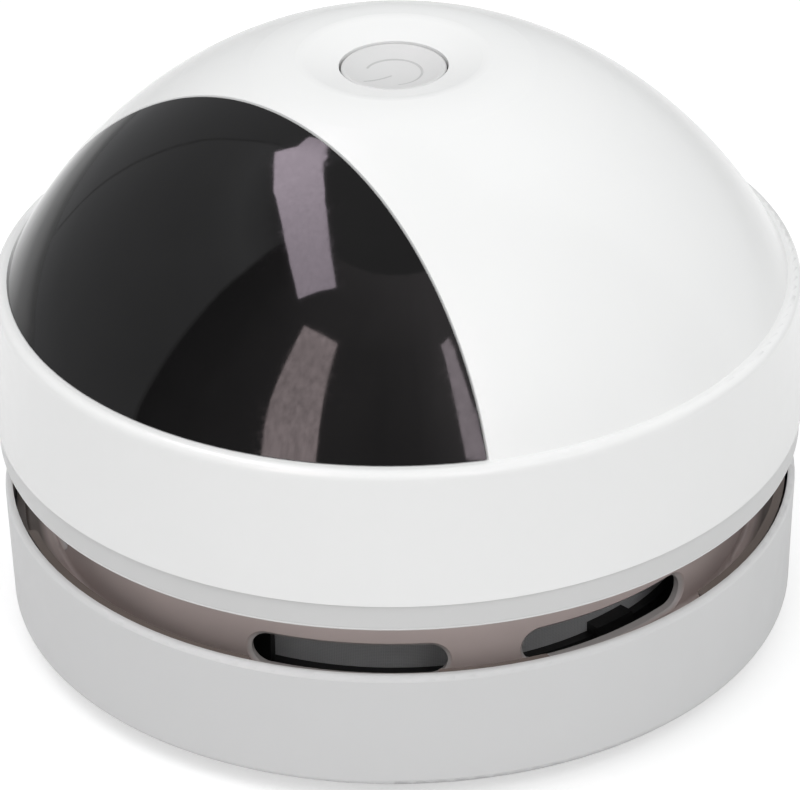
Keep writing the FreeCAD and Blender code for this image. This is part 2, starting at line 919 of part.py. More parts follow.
def bevel_edges(body, name, test, size):
    """Bevel the edges along which a test holds."""
    before = volume_of(body)
    base = (body.Tip, edges_where(body.Shape, test))
    bevel = body.newObject("PartDesign::Chamfer", name)
    bevel.Base = base
    bevel.setExpression("Size", size.text)
    body.Tip = bevel
    doc.recompute()
    if not volume_of(body) < before:
        raise RuntimeError(f"{body.Label}: {name} did nothing")


def exhaust_collar():
    """The smoked collar: a wall with six bevelled slots over a trough that fits in the rim."""
    body = new_body("exhaust_collar")
    trough_bore = trough_radius - d.trough_wall
    collar_top = plate_bottom + d.collar_groove - d.seat_gap
    revolve(
        body,
        (collar_bore, collar_foot),
        (trough_radius, collar_foot),
        (trough_radius, rim_top - d.trough_drop),
        (trough_bore, rim_top - d.trough_drop),
        (trough_bore, trough_floor + d.trough_round, -d.trough_round),
        (trough_bore - d.trough_round, trough_floor),
        (collar_radius + d.trough_round, trough_floor, -d.trough_round),
        (collar_radius, trough_floor + d.trough_round),
        (collar_radius, collar_top),
        (collar_bore, collar_top),
    )
    half = collar_bore * sine(d.slot_sweep / 2)
    end = d.slot_height / 2
    low = trough_floor + d.slot_rise
    middle, high = low + end, low + d.slot_height
    cuts = []
    for side in (-1, 1):
        sketch = new_sketch(body, "XZ_Plane", turn=d.slot_pair_turn + d.slot_pair_spread * side)
        outline(
            sketch,
            (-half + end, low),
            (half - end, low, end),
            (half, middle, end),
            (half - end, high),
            (-half + end, high, end),
            (-half, middle, end),
        )
        cuts.append(pocket(body, sketch, d.band_radius, backwards=True))
    repeat(body, cuts, d.slot_pair_count)

    def round_slot(spot):
        on_wall = abs(math.hypot(spot.x, spot.y) - collar_radius.value) < NEAR
        return on_wall and low.value - NEAR < spot.z < high.value + NEAR

    bevel_edges(body, "slot_bevels", round_slot, d.slot_bevel)
    return keep(body)


def chassis_plate():
    """The plate that closes the dome: lip, spigot, motor cup, battery cradle and posts."""
    body = new_body("chassis_plate")
    nose_hole = d.bush_radius + d.slip_gap
    groove_inner = collar_bore - d.seat_gap
    groove_outer = collar_radius + d.seat_gap
    groove_top = plate_bottom + d.collar_groove
    cup_top = plate_top + d.motor_cup_height
    spigot_bore = spigot_radius - d.spigot_wall
    revolve(
        body,
        (nose_hole, plate_bottom),
        (groove_inner, plate_bottom),
        (groove_inner, groove_top),
        (groove_outer, groove_top),
        (groove_outer, plate_bottom),
        (lip_radius - d.lip_round, plate_bottom, d.lip_round),
        (lip_radius, plate_bottom + d.lip_round),
        (lip_radius, band_bottom),
        (spigot_radius, band_bottom),
        (spigot_radius, spigot_top - d.spigot_lead),
        (spigot_radius - d.spigot_lead, spigot_top),
        (spigot_bore, spigot_top),
        (spigot_bore, plate_top),
        (motor_cup_radius, plate_top),
        (motor_cup_radius, cup_top),
        (motor_cup_bore, cup_top),
        (motor_cup_bore, plate_top),
        (nose_hole, plate_top),
    )
    half_length = cell_length / 2 + d.cell_gap
    front, back = cradle_front, cradle_back
    sketch = new_sketch(body, "XY_Plane", plate_top - d.root_depth)
    wall = d.cradle_wall
    outline(
        sketch,
        (-half_length - wall, front - wall),
        (half_length + wall, front - wall),
        (half_length + wall, back + wall),
        (-half_length - wall, back + wall),
    )
    outline(
        sketch,
        (-half_length, front),
        (half_length, front),
        (half_length, back),
        (-half_length, back),
    )
    pad(body, sketch, d.root_depth + d.cradle_height)
    sketch = new_sketch(body, "XY_Plane", plate_top - d.root_depth)
    for side in (-1, 1):
        round_hole(sketch, d.charge_post_place * side, charge_post_back, d.board_post_radius)
    pad(body, sketch, d.root_depth + d.board_post_height)
    sketch = new_sketch(body, "XY_Plane", charge_board_bottom)
    for side in (-1, 1):
        round_hole(sketch, d.charge_post_place * side, charge_post_back, pilot_radius)
    pocket(body, sketch, d.short_bite + d.seat_gap)
    through = d.plate_thickness + d.cut_overrun
    ring_of_holes(
        body, plate_bottom, d.head_sink, post_ring, d.post_turn, head_pocket, d.post_count
    )
    ring_of_holes(
        body, plate_bottom, through, post_ring, d.post_turn, d.screw_hole, d.post_count
    )
    ring, turn, count = d.motor_screw_ring, d.side_turn, d.motor_screw_count
    ring_of_holes(body, plate_bottom, d.head_sink, ring, turn, head_pocket, count)
    ring_of_holes(body, plate_bottom, through, ring, turn, d.screw_hole, count)
    return keep(body)


def dish_corners():
    """The dish about the button: a cone that a ridge and a softer brow round over into the crown."""
    brow_radius = crown_radius * d.brow_share
    brow_across = (crown_radius - brow_radius) * sine(d.brow_spread)
    brow_centre = crown_centre + (crown_radius - brow_radius) * cosine(d.brow_spread)
    ball = brow_radius - d.dish_round
    slope = tangent(d.dish_slope)
    cone_start = bore_rim - d.button_bore * slope - d.dish_round / cosine(d.dish_slope)
    drop = cone_start + slope * brow_across - brow_centre
    lean = 1 + slope * slope
    square = slope * slope * drop * drop - lean * (drop * drop - ball * ball)
    run = (root(square) - slope * drop) / lean
    rise = drop + slope * run
    share = brow_radius / ball
    across, up = brow_across + run, brow_centre + rise
    crown_edge = (
        crown_radius * sine(d.brow_spread),
        crown_centre + crown_radius * cosine(d.brow_spread),
        brow_radius,
    )
    ridge_edge = (brow_across + run * share, brow_centre + rise * share, d.dish_round)
    cone_edge = (across - d.dish_round * sine(d.dish_slope), up + d.dish_round * cosine(d.dish_slope))
    return crown_edge, ridge_edge, cone_edge


def dome_ring(name, inner_depth, outer_depth, foot):
    """A skin of the dome between two depths, from a foot height up to the visor's top."""
    body = new_body(name)
    inner_joint, outer_joint = dome_joint(inner_depth), dome_joint(outer_depth)
    across = visor_inner_radius
    revolve(
        body,
        (shoulder_radius_at(inner_depth, foot), foot),
        (shoulder_radius_at(outer_depth, foot), foot, shoulder_radius - outer_depth),
        (*outer_joint, crown_radius - outer_depth),
        (across, crown_height_at(outer_depth, across)),
        (across, crown_height_at(inner_depth, across), inner_depth - crown_radius),
        (*inner_joint, inner_depth - shoulder_radius),
    )
    return body


def front_block(name, setback):
    """A block in front of the visor's leaning plane, set back from the axis at the crease."""
    block = doc.addObject("Part::Box", name)
    reach = d.cutter_reach
    block.setExpression("Length", (reach * 2).text)
    block.setExpression("Width", reach.text)
    block.setExpression("Height", (reach * 2).text)
    block.Placement.Rotation = FreeCAD.Rotation(FreeCAD.Vector(-1, 0, 0), d.visor_lean.value)
    block.setExpression("Placement.Rotation.Angle", d.visor_lean.text)
    lean_sine, lean_cosine = sine(d.visor_lean), cosine(d.visor_lean)
    back = -setback - reach * (lean_cosine + lean_sine)
    block.setExpression("Placement.Base.x", (-reach).text)
    block.setExpression("Placement.Base.y", back.text)
    block.setExpression("Placement.Base.z", (crease + reach * (lean_sine - lean_cosine)).text)
    doc.recompute()
    return block


def cavity(name, depth, foot, hub_radius=d.hub_radius, hub_foot=hub_bottom):
    """The hollow of the dome for a wall of some depth, with a hub left standing in it."""
    body = new_body(name)
    revolve(
        body,
        (0, foot),
        (band_bore, foot),
        (band_bore, shoulder_height_at(depth, band_bore), shoulder_radius - depth),
        (*dome_joint(depth), crown_radius - depth),
        (hub_radius, crown_height_at(depth, hub_radius)),
        (hub_radius, hub_foot),
        (0, hub_foot),
    )
    return body


def dome_blank():
    """The dome and band as one solid, with the ledge, the dish and the button's bore."""
    body = new_body("dome_blank")
    foot_radius = shoulder_radius_at(0, crease)
    ledge_radius = band_top_radius - d.ledge_round
    revolve(
        body,
        (d.button_bore, band_bottom),
        (d.band_radius, band_bottom),
        (band_top_radius, crease - d.ledge_round, d.ledge_round),
        (ledge_radius, crease),
        (foot_radius, crease, shoulder_radius),
        (*dome_joint(as_size(0)), crown_radius),
        *dish_corners(),
        (d.button_bore, bore_rim),
    )
    return body


def posts():
    """Screw posts down to the plate and bosses for the switch board, all with pilot holes."""
    body = new_body("dome_posts")
    sketch = new_sketch(body, "XY_Plane", plate_top)
    round_hole(sketch, *polar(post_ring, d.post_turn), d.post_radius)
    round_hole(sketch, *polar(post_ring, d.post_turn), pilot_radius)
    shaft = pad(body, sketch, d.pilot_depth)
    sketch = new_sketch(body, "XY_Plane", plate_top + d.pilot_depth)
    round_hole(sketch, *polar(post_ring, d.post_turn), d.post_radius)
    top = pad(body, sketch, button_top - plate_top - d.pilot_depth)
    repeat(body, [shaft, top], d.post_count)
    return body


def board_bosses():
    body = new_body("dome_board_bosses")
    pilot = d.short_bite + d.cut_overrun
    place = polar(d.board_boss_ring, d.side_turn)
    sketch = new_sketch(body, "XY_Plane", board_top)
    round_hole(sketch, *place, d.board_boss_radius)
    round_hole(sketch, *place, pilot_radius)
    shaft = pad(body, sketch, pilot)
    sketch = new_sketch(body, "XY_Plane", board_top + pilot)
    round_hole(sketch, *place, d.board_boss_radius)
    top = pad(body, sketch, button_top - board_top - pilot)
    repeat(body, [shaft, top], d.board_boss_count)
    return body


def port_cutter():
    """The socket's window and the charging light's hole, both through the band's back."""
    body = new_body("port_cutter")
    sketch = new_sketch(body, "XZ_Plane", -d.band_radius - d.cut_overrun)
    centre = socket_centre()
    half = d.socket_width / 2 + d.port_margin
    rise = d.socket_height / 2 + d.port_margin
    corner = rise - d.port_margin
    rounded_box(sketch, -half, centre - rise, half, centre + rise, corner)
    depth = d.shell_wall * 2 + d.cut_overrun
    pad(body, sketch, depth)
    sketch = new_sketch(body, "XZ_Plane", -d.band_radius - d.cut_overrun)
    round_hole(sketch, d.light_place, centre, d.light_radius + d.seat_gap)
    pad(body, sketch, depth)
    return body


def socket_centre():
    """Height of the charging socket's middle."""
    return charge_board_bottom + d.board_thickness + d.socket_height / 2


def dome_shell():
    """The white shell: a thin dome and band, stepped in where the visor lies on it."""
    recess_depth = d.visor_thickness + d.seat_gap
    step_depth = recess_depth + d.step_wall
    foot = band_bottom - d.cut_overrun
    recess = joined(
        "Part::Common",
        "visor_recess",
        dome_ring("recess_skin", recess_depth, -d.cut_overrun, crease),
        front_block("recess_front", visor_setback),
    )
    hollow = joined(
        "Part::Cut",
        "rear_hollow",
        cavity("wide_cavity", d.shell_wall, foot),
        front_block("step_front", visor_setback - d.shell_wall),
    )
    shell = joined("Part::Cut", "shell_recessed", dome_blank(), recess)
    shell = joined("Part::Cut", "shell_hollowed", shell, hollow)
    shell = joined("Part::Cut", "shell_stepped", shell, cavity("deep_cavity", step_depth, foot))
    room = cavity("post_room", recess_depth + d.post_root, plate_bottom, d.stem_radius, plate_top)
    pillars = joined("Part::Common", "trimmed_posts", posts(), room)
    bosses = joined("Part::Common", "trimmed_bosses", board_bosses(), room)
    shell = joined("Part::Fuse", "shell_posts", shell, pillars)
    shell = joined("Part::Fuse", "shell_bosses", shell, bosses)
    shell = joined("Part::Cut", "dome_shell_piece", shell, port_cutter())
    return keep(shell, "dome_shell")


def visor_panel():
    """The glossy visor: a skin of the dome cut off along the leaning plane, its edge bevelled."""
    body = dome_ring("visor_panel", d.visor_thickness, as_size(0), crease + d.visor_gap)
    lean = tangent(d.visor_lean)
    setback = -visor_setback - d.visor_gap / cosine(d.visor_lean)
    drop, rise, reach = d.cut_overrun, d.cutter_reach, d.cutter_reach
    sketch = new_sketch(body, "YZ_Plane", -reach)
    outline(
        sketch,
        (setback - drop * lean, crease - drop),
        (reach, crease - drop),
        (reach, crease + rise),
        (setback + rise * lean, crease + rise),
    )
    pocket(body, sketch, reach * 2, backwards=True)

    def outer_edge(spot):
        on_plane = abs(spot.y - setback.value - (spot.z - crease.value) * lean.value) < NEAR
        return on_plane and on_dome(spot)

    bevel_edges(body, "visor_bevels", outer_edge, d.visor_bevel)
    return keep(body)


def button_pieces():
    """The power button, hollowed for a fingertip and held by its flange, and its plunger."""
    cap_radius = d.button_bore - d.button_gap
    skirt_radius = d.button_bore + d.button_flange
    flange_under = flange_bottom + d.button_flange_thickness
    rim = cap_radius - d.button_round
    dip_bend = (rim * rim + d.button_dip * d.button_dip) / (d.button_dip * 2)
    turned(
        "power_button",
        (0, stem_bottom),
        (d.stem_radius, stem_bottom),
        (d.stem_radius, flange_bottom),
        (skirt_radius, flange_bottom),
        (skirt_radius, flange_under),
        (cap_radius, flange_under),
        (cap_radius, button_top - d.button_round, d.button_round),
        (rim, button_top, -dip_bend),
        (0, button_top - d.button_dip),
    )
    plunger_bottom = plunger_top - d.plunger_length
    turned(
        "switch_plunger",
        (0, plunger_bottom),
        (d.plunger_radius, plunger_bottom),
        (d.plunger_radius, plunger_top - d.button_round),
        (d.plunger_radius - d.button_round, plunger_top),
        (0, plunger_top),
    )


def switch_pieces():
    """The switch board under the dome, its switch and its two screws."""
    body = new_body("switch_board")
    half_length = d.switch_board_length / 2
    half_width = d.switch_board_width / 2
    sketch = new_sketch(body, "XY_Plane", board_bottom)
    rounded_box(sketch, -half_length, -half_width, half_length, half_width, d.board_round)
    for side in (-1, 1):
        round_hole(sketch, d.board_boss_ring * side, 0, d.screw_hole)
    pad(body, sketch, d.board_thickness)
    keep(body)
    body = new_body("switch_body")
    half = d.switch_width / 2
    sketch = new_sketch(body, "XY_Plane", board_top)
    outline(sketch, (-half, -half), (half, -half), (half, half), (-half, half))
    pad(body, sketch, d.switch_height)
    sketch = new_sketch(body, "XY_Plane", switch_top)
    round_hole(sketch, 0, 0, d.plunger_radius + d.plunger_gap)
    stroke = d.plunger_length - d.plunger_height + d.button_travel + d.plunger_gap
    pocket(body, sketch, stroke)
    keep(body)
    bite = d.board_thickness + d.short_bite
    ring, count = d.board_boss_ring, d.board_boss_count
    screws("switch_board_screws", board_bottom, bite, ring, d.side_turn, count)


def motor_pieces():
    """The motor's still parts: can, magnets, end cap, bushes, terminals and screws."""
    body = new_body("motor_can")
    revolve(
        body,
        (bush_hole, plate_top),
        (can_radius - d.can_wall, plate_top, d.can_wall),
        (can_radius, can_floor),
        (can_radius, can_top),
        (can_bore, can_top),
        (can_bore, can_floor),
        (bush_hole, can_floor),
    )
    ring, turn, count = d.motor_screw_ring, d.side_turn, d.motor_screw_count
    ring_of_holes(body, plate_top, d.can_wall, ring, turn, pilot_radius, count)
    keep(body)
    spigot = can_bore - d.pilot_gap
    turned(
        "motor_end_cap",
        (bush_hole, cap_foot),
        (spigot, cap_foot),
        (spigot, can_top),
        (can_radius, can_top),
        (can_radius, cap_top),
        (d.cap_boss_radius, cap_top),
        (d.cap_boss_radius, cap_boss_top),
        (bush_hole, cap_boss_top),
    )
    body = new_body("motor_bushes")
    for foot in (plate_top - d.bush_nose, cap_boss_top - d.bush_length):
        revolve(
            body,
            (shaft_bore, foot),
            (d.bush_radius, foot),
            (d.bush_radius, foot + d.bush_length),
            (shaft_bore, foot + d.bush_length),
        )
    keep(body)
    body = new_body("motor_magnets")
    sketch = new_sketch(body, "XY_Plane", core_middle - d.magnet_height / 2)
    magnet_bore = magnet_radius - d.magnet_thickness
    sector(sketch, magnet_bore, magnet_radius, d.side_turn, d.magnet_sweep)
    repeat(body, [pad(body, sketch, d.magnet_height)], d.magnet_count)
    keep(body)
    body = new_body("motor_terminals")
    half = d.terminal_width / 2
    near, far = d.terminal_place, terminal_face
    sketch = new_sketch(body, "XY_Plane", cap_top)
    outline(sketch, (near, -half), (far, -half), (far, half), (near, half))
    mirror(body, [pad(body, sketch, board_bottom - cap_top - d.terminal_clearance)])
    keep(body)
    bite = d.plate_thickness - d.head_sink + d.can_wall
    screws("motor_screws", plate_bottom + d.head_sink, bite, ring, turn, count)


def rotor_pieces():
    """Shaft, wound core and commutator, which turn with the impeller."""
    shaft_foot, shaft_top = nose_foot + d.seat_gap, cap_boss_top - d.shaft_tail
    turned(
        "motor_shaft",
        (0, shaft_foot),
        (d.shaft_radius, shaft_foot),
        (d.shaft_radius, shaft_top),
        (0, shaft_top),
    )
    core_foot, core_top = core_middle - d.core_height / 2, core_middle + d.core_height / 2
    core_radius = magnet_radius - d.magnet_thickness - d.core_gap
    body = new_body("armature_core")
    revolve(
        body,
        (shaft_bore, core_foot),
        (d.core_neck, core_foot),
        (d.core_neck, core_top),
        (shaft_bore, core_top),
    )
    sketch = new_sketch(body, "XY_Plane", core_foot)
    half = d.core_pole / 2
    outline(
        sketch,
        (-half, -core_radius + d.root_depth),
        (half, -core_radius + d.root_depth),
        (half, -d.core_neck + d.root_depth),
        (-half, -d.core_neck + d.root_depth),
    )
    neck = pad(body, sketch, d.core_height)
    sketch = new_sketch(body, "XY_Plane", core_foot)
    shoe = d.full_turn / d.core_count - d.core_slot
    sector(sketch, core_radius - d.core_pole, core_radius, as_size(0), shoe)
    shoe_pad = pad(body, sketch, d.core_height)
    repeat(body, [neck, shoe_pad], d.core_count)
    keep(body)
    commutator_foot = core_top + d.slip_gap
    turned(
        "commutator",
        (shaft_bore, commutator_foot),
        (d.commutator_radius, commutator_foot),
        (d.commutator_radius, commutator_foot + d.commutator_height),
        (shaft_bore, commutator_foot + d.commutator_height),
    )


def impeller():
    """The fan: nine blades, curved back, hang from a disc round a rounded nose."""
    body = new_body("impeller")
    disc_foot = disc_top - d.impeller_plate
    revolve(
        body,
        (shaft_bore, nose_foot),
        (d.hub_nose_radius - d.hub_nose_round, nose_foot, d.hub_nose_round),
        (d.hub_nose_radius, nose_foot + d.hub_nose_round),
        (d.hub_nose_radius, disc_foot - d.hub_nose_round, -d.hub_nose_round),
        (d.hub_nose_radius + d.hub_nose_round, disc_foot),
        (d.impeller_radius, disc_foot),
        (d.impeller_radius, disc_top),
        (shaft_bore, disc_top),
    )
    sketch = new_sketch(body, "XY_Plane", disc_top - d.root_depth)
    root_half = turn_across(d.blade_thickness / 2, d.blade_root_ring)
    tip_half = turn_across(d.blade_thickness / 2, d.impeller_radius)
    tip_ring = d.impeller_radius - d.seat_gap
    outline(
        sketch,
        (*polar(d.blade_root_ring, -root_half), d.blade_curve),
        (*polar(tip_ring, d.blade_sweep - tip_half),),
        (*polar(tip_ring, d.blade_sweep + tip_half), -d.blade_curve),
        (*polar(d.blade_root_ring, root_half),),
    )
    depth = d.blade_root_height + d.impeller_plate - d.root_depth
    repeat(body, [pad(body, sketch, depth, backwards=True)], d.blade_count)
    over = d.cut_overrun
    lowest = disc_foot - d.blade_root_height - over
    groove(
        body,
        (d.blade_root_ring - over, lowest),
        (d.impeller_radius + over, lowest),
        (d.impeller_radius + over, disc_foot - d.blade_tip_height),
        (d.blade_root_ring - over, disc_foot - d.blade_root_height),
    )
    return keep(body)


def power_pieces():
    """The battery cell, the charging board with its socket and light, and their screws."""
    front = cradle_front + d.cell_gap
    body = new_body("battery_cell")
    half = cell_length / 2
    sketch = new_sketch(body, "XY_Plane", cell_foot)
    rounded_box(sketch, -half, front, half, front + cell_width, d.cell_round)
    pad(body, sketch, cell_height)
    keep(body)
    body = new_body("charge_board")
    half = d.charge_board_width / 2
    back = charge_board_back
    sketch = new_sketch(body, "XY_Plane", charge_board_bottom)
    outline(
        sketch,
        (-half, charge_board_front),
        (half, charge_board_front),
        (half, back),
        (-half, back),
    )
    for side in (-1, 1):
        round_hole(sketch, d.charge_post_place * side, charge_post_back, d.screw_hole)
    pad(body, sketch, d.board_thickness)
    keep(body)
    socket()
    charge_light()
    body = new_body("charge_board_screws")
    under_head = charge_board_bottom + d.board_thickness
    head_top = under_head + d.head_height
    tip = charge_board_bottom - d.short_bite
    place = (d.charge_post_place, charge_post_back)
    blank = revolve(
        body,
        (0, tip),
        (d.screw_radius, tip + d.screw_radius),
        (d.screw_radius, under_head),
        (d.small_head_radius, under_head),
        (d.small_head_radius, head_top),
        (0, head_top),
        place=place,
    )
    sketch = new_sketch(body, "XY_Plane", head_top)
    cross(sketch, place)
    mirror(body, [blank, pocket(body, sketch, d.cross_depth)])
    keep(body)


def socket():
    """The charging socket: a drawn metal tube round a tongue, open to the back."""
    body = new_body("charge_socket")
    centre = socket_centre()
    half, rise = d.socket_width / 2, d.socket_height / 2
    mouth = d.band_radius - d.socket_recess
    sketch = new_sketch(body, "XZ_Plane", -mouth)
    corner = rise - d.seat_gap
    rounded_box(sketch, -half, centre - rise, half, centre + rise, corner)
    pad(body, sketch, d.socket_depth)
    sketch = new_sketch(body, "XZ_Plane", -mouth)
    wall = d.socket_wall
    rounded_box(
        sketch,
        -half + wall,
        centre - rise + wall,
        half - wall,
        centre + rise - wall,
        corner - wall,
    )
    pocket(body, sketch, d.socket_depth - d.socket_back, backwards=True)
    sketch = new_sketch(body, "XZ_Plane", -mouth + d.socket_recess)
    tongue = half - rise
    low, high = centre - d.socket_tongue / 2, centre + d.socket_tongue / 2
    outline(sketch, (-tongue, low), (tongue, low), (tongue, high), (-tongue, high))
    pad(body, sketch, d.socket_depth - d.socket_recess - d.root_depth)
    return keep(body)


def charge_light():
    """The charging light: a block on the board and a pipe out to the band's back."""
    body = new_body("charge_light")
    centre = socket_centre()
    foot = charge_board_bottom + d.board_thickness
    half = d.light_block / 2
    back = charge_board_back - d.seat_gap
    sketch = new_sketch(body, "XY_Plane", foot)
    left, right = d.light_place - half, d.light_place + half
    front = back - d.light_block
    outline(sketch, (left, front), (right, front), (right, back), (left, back))
    pad(body, sketch, centre - foot + d.light_radius)
    sketch = new_sketch(body, "XZ_Plane", -back + half)
    round_hole(sketch, d.light_place, centre, d.light_radius)
    reach = d.band_radius - d.socket_recess - back + half
    pad(body, sketch, reach, backwards=True)
    return keep(body)


def lead_pair(name, profile, spine):
    """Two alike leads, one each side: a round section swept along a route."""
    body = profile.getParentGeoFeatureGroup()
    doc.recompute()
    pipe = body.newObject("PartDesign::AdditivePipe", name + "_pipe")
    pipe.Profile = profile
    pipe.Spine = (spine, [f"Edge{number}" for number in range(1, len(spine.Shape.Edges) + 1)])
    profile.Visibility = False
    spine.Visibility = False
    body.Tip = pipe
    doc.recompute()
    mirror(body, [pipe])
    keep(body)


def lead_to_board(name, place, back, foot, bend):
    """A pair of leads that rise from a foot and run forward to the switch board's back edge."""
    body = new_body(name)
    profile = new_sketch(body, "XY_Plane", foot)
    round_hole(profile, place, back, d.lead_radius)
    level = board_bottom + d.board_thickness / 2
    spine = new_sketch(body, "YZ_Plane", place)
    outline(
        spine,
        (back, foot),
        (back, level - bend, bend),
        (back - bend, level),
        (d.switch_board_width / 2, level),
        closed=False,
    )
    lead_pair(name, profile, spine)


def leads():
    """The leads that join the cell, the charging board and the motor to the switch board."""
    cell_middle = cradle_front + d.cell_gap + cell_width / 2
    cell_top = cell_foot + cell_height
    lead_to_board(
        "battery_leads", d.battery_lead_place, cell_middle, cell_top, d.battery_lead_bend
    )
    board_back = charge_board_front + d.charge_lead_inset
    board_face = charge_board_bottom + d.board_thickness
    lead_to_board(
        "charge_leads", d.charge_lead_place, board_back, board_face, d.charge_lead_bend
    )
    body = new_body("motor_leads")
    room = board_bottom - cap_top
    level = cap_top + room * d.motor_lead_rise_share
    bend = room * d.motor_lead_bend_share
    outer = terminal_face + d.motor_lead_reach
    profile = new_sketch(body, "YZ_Plane", terminal_face)
    round_hole(profile, 0, level, d.lead_radius)
    spine = new_sketch(body, "XZ_Plane")
    outline(
        spine,
        (terminal_face, level),
        (outer - bend, level, bend),
        (outer, level + bend),
        (outer, board_bottom),
        closed=False,
    )
    lead_pair("motor_leads", profile, spine)


def cage_seal():
    """The soft ring under the plate that the cage's top meets."""
    middle = (cage_radius + lip_bore) / 2
    half = d.cage_seal_width / 2
    foot = plate_bottom - d.cage_seal_height
    turned(
        "cage_seal",
        (middle - half, foot),
        (middle + half, foot),
        (middle + half, plate_bottom),
        (middle - half, plate_bottom),
    )


def write_parts():
    """Check every object, then write each piece under its label."""
    doc.recompute()
    for item in doc.Objects:
        if "Invalid" in item.State or "Error" in item.State:
            raise RuntimeError(f"{item.Label} failed: {item.State}")
    os.makedirs("parts", exist_ok=True)
    for item in parts:
        if item.Shape.isNull() or not item.Shape.isValid():
            raise RuntimeError(f"{item.Label} has no valid shape")
    for item in parts:
        item.Shape.exportStep(f"parts/{item.Label}.step")
        print(f"{item.Label}: {len(item.Shape.Solids)} solids, {item.Shape.Volume:.1f} mm3")


base_shell()
intake_duct()
cup_pieces()
filter_cage()
exhaust_collar()
chassis_plate()
dome_shell()
visor_panel()
cage_seal()
chassis_seat = plate_bottom + d.head_sink
screws("chassis_screws", chassis_seat, d.screw_bite, post_ring, d.post_turn, d.post_count)
button_pieces()
switch_pieces()
motor_pieces()
rotor_pieces()
impeller()
power_pieces()
leads()
write_parts()
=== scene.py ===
"""A desk vacuum on a pale studio floor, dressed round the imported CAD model."""

import math
import random

import bmesh
import bpy
from mathutils import Matrix, Vector


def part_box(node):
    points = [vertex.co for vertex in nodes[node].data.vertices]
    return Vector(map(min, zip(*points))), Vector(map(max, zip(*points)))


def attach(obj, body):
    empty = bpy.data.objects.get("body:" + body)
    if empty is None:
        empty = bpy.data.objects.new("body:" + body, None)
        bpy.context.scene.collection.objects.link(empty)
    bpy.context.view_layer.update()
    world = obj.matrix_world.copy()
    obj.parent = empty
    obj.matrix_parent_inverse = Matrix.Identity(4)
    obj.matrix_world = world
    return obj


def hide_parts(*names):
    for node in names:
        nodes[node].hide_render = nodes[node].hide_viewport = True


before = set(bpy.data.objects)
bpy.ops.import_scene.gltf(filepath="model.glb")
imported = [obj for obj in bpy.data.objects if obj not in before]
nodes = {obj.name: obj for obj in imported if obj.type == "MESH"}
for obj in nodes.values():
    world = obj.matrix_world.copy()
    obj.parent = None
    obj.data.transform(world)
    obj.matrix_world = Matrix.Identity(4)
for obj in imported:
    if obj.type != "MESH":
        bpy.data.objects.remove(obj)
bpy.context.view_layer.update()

# Camera, from the ellipses that the rims make in the photograph
IMAGE_WIDTH = 800
FOCAL_PIXELS = 4612.784
SENSOR_WIDTH = 36.0
CAMERA_AZIMUTH = 47.3
CAMERA_ELEVATION = 30.40
CAMERA_ROLL = -0.906
CAMERA_DISTANCE = 0.48733
CAMERA_TARGET = Vector((0, 0, 0.02316))
CAMERA_SHIFT_PIXELS = 1.1133

# Light that the floor adds near the object, in the camera's view and in gloss, to show white
FLOOR_LIFT = 0.49
FLOOR_HALF = 4.0

# How far from the object the studio's lights stand
SOFT_BOX_DISTANCE = 1.3
LAMP_DISTANCE = 1.5
WALL_DISTANCE = 1.9
LAMP_SIZE = 0.95

# The span that holds nearly all values of a noise
NOISE_LOW = 0.3
NOISE_HIGH = 0.7

# Moulded grain: its depth and its noise scale
GRAIN = 0.000003
GRAIN_SCALE = 5000

# The hollow top of the button, and the power sign in it: a ring with a gap, and a bar in the gap
BUTTON_RIM = 0.0051
BUTTON_DIP = 0.001
SIGN_RING = 0.00288
SIGN_GAP = 120
SIGN_GAP_MIDDLE = -3
SIGN_BAR_START = 0.0003
SIGN_BAR_END = 0.00395
SIGN_WIDTH = 0.00028
SIGN_HEIGHT = 0.00004
SIGN_SINK = 0.00002

# The commutator's segments over a ring of risers, and the slits between them, in degrees
COMMUTATOR_RADIUS = 0.0028
COMMUTATOR_RISERS = 0.0029
COMMUTATOR_CHAMFER = 0.00015
RISERS_TOP = 0.0006
SEGMENTS_FOOT = 0.0007
SEGMENTS = 3
SLIT_DEPTH = 0.0004
SLIT_TURN = 30
SLIT_HALF = 2.7

# How far in the armature's pole tips reach
POLE_TIP = 0.0019

# The bead on the lip's lower edge
LIP_BEAD = 0.00015
LIP_FOOT = 0.0211

# The collar's outside, within which its slots' edges lie and take a painted highlight, and the step
# to its trough, which takes painted shade
COLLAR_RADIUS = 0.0372
TROUGH_STEP = 0.0016

# Tufts of the brush; from one bristle to the next they turn by the golden angle
BRISTLES = 37
TUFT_RADIUS = 0.00078
BRISTLE_RADIUS = 0.00009
BRISTLE_ROOT = 0.0001
BRISTLE_TURN = 137.5
BRISTLE_BOW = 0.00006
BRISTLE_UNEVEN = 0.00025


def direction(azimuth, elevation):
    """The way to a point round the object: azimuth 0 is on the visor's side, -Y."""
    a, e = math.radians(azimuth), math.radians(elevation)
    return Vector((math.sin(a) * math.cos(e), -math.cos(a) * math.cos(e), math.sin(e)))


def spread(first, last, steps):
    """Even values from first to last."""
    return [first + (last - first) * step / steps for step in range(steps + 1)]


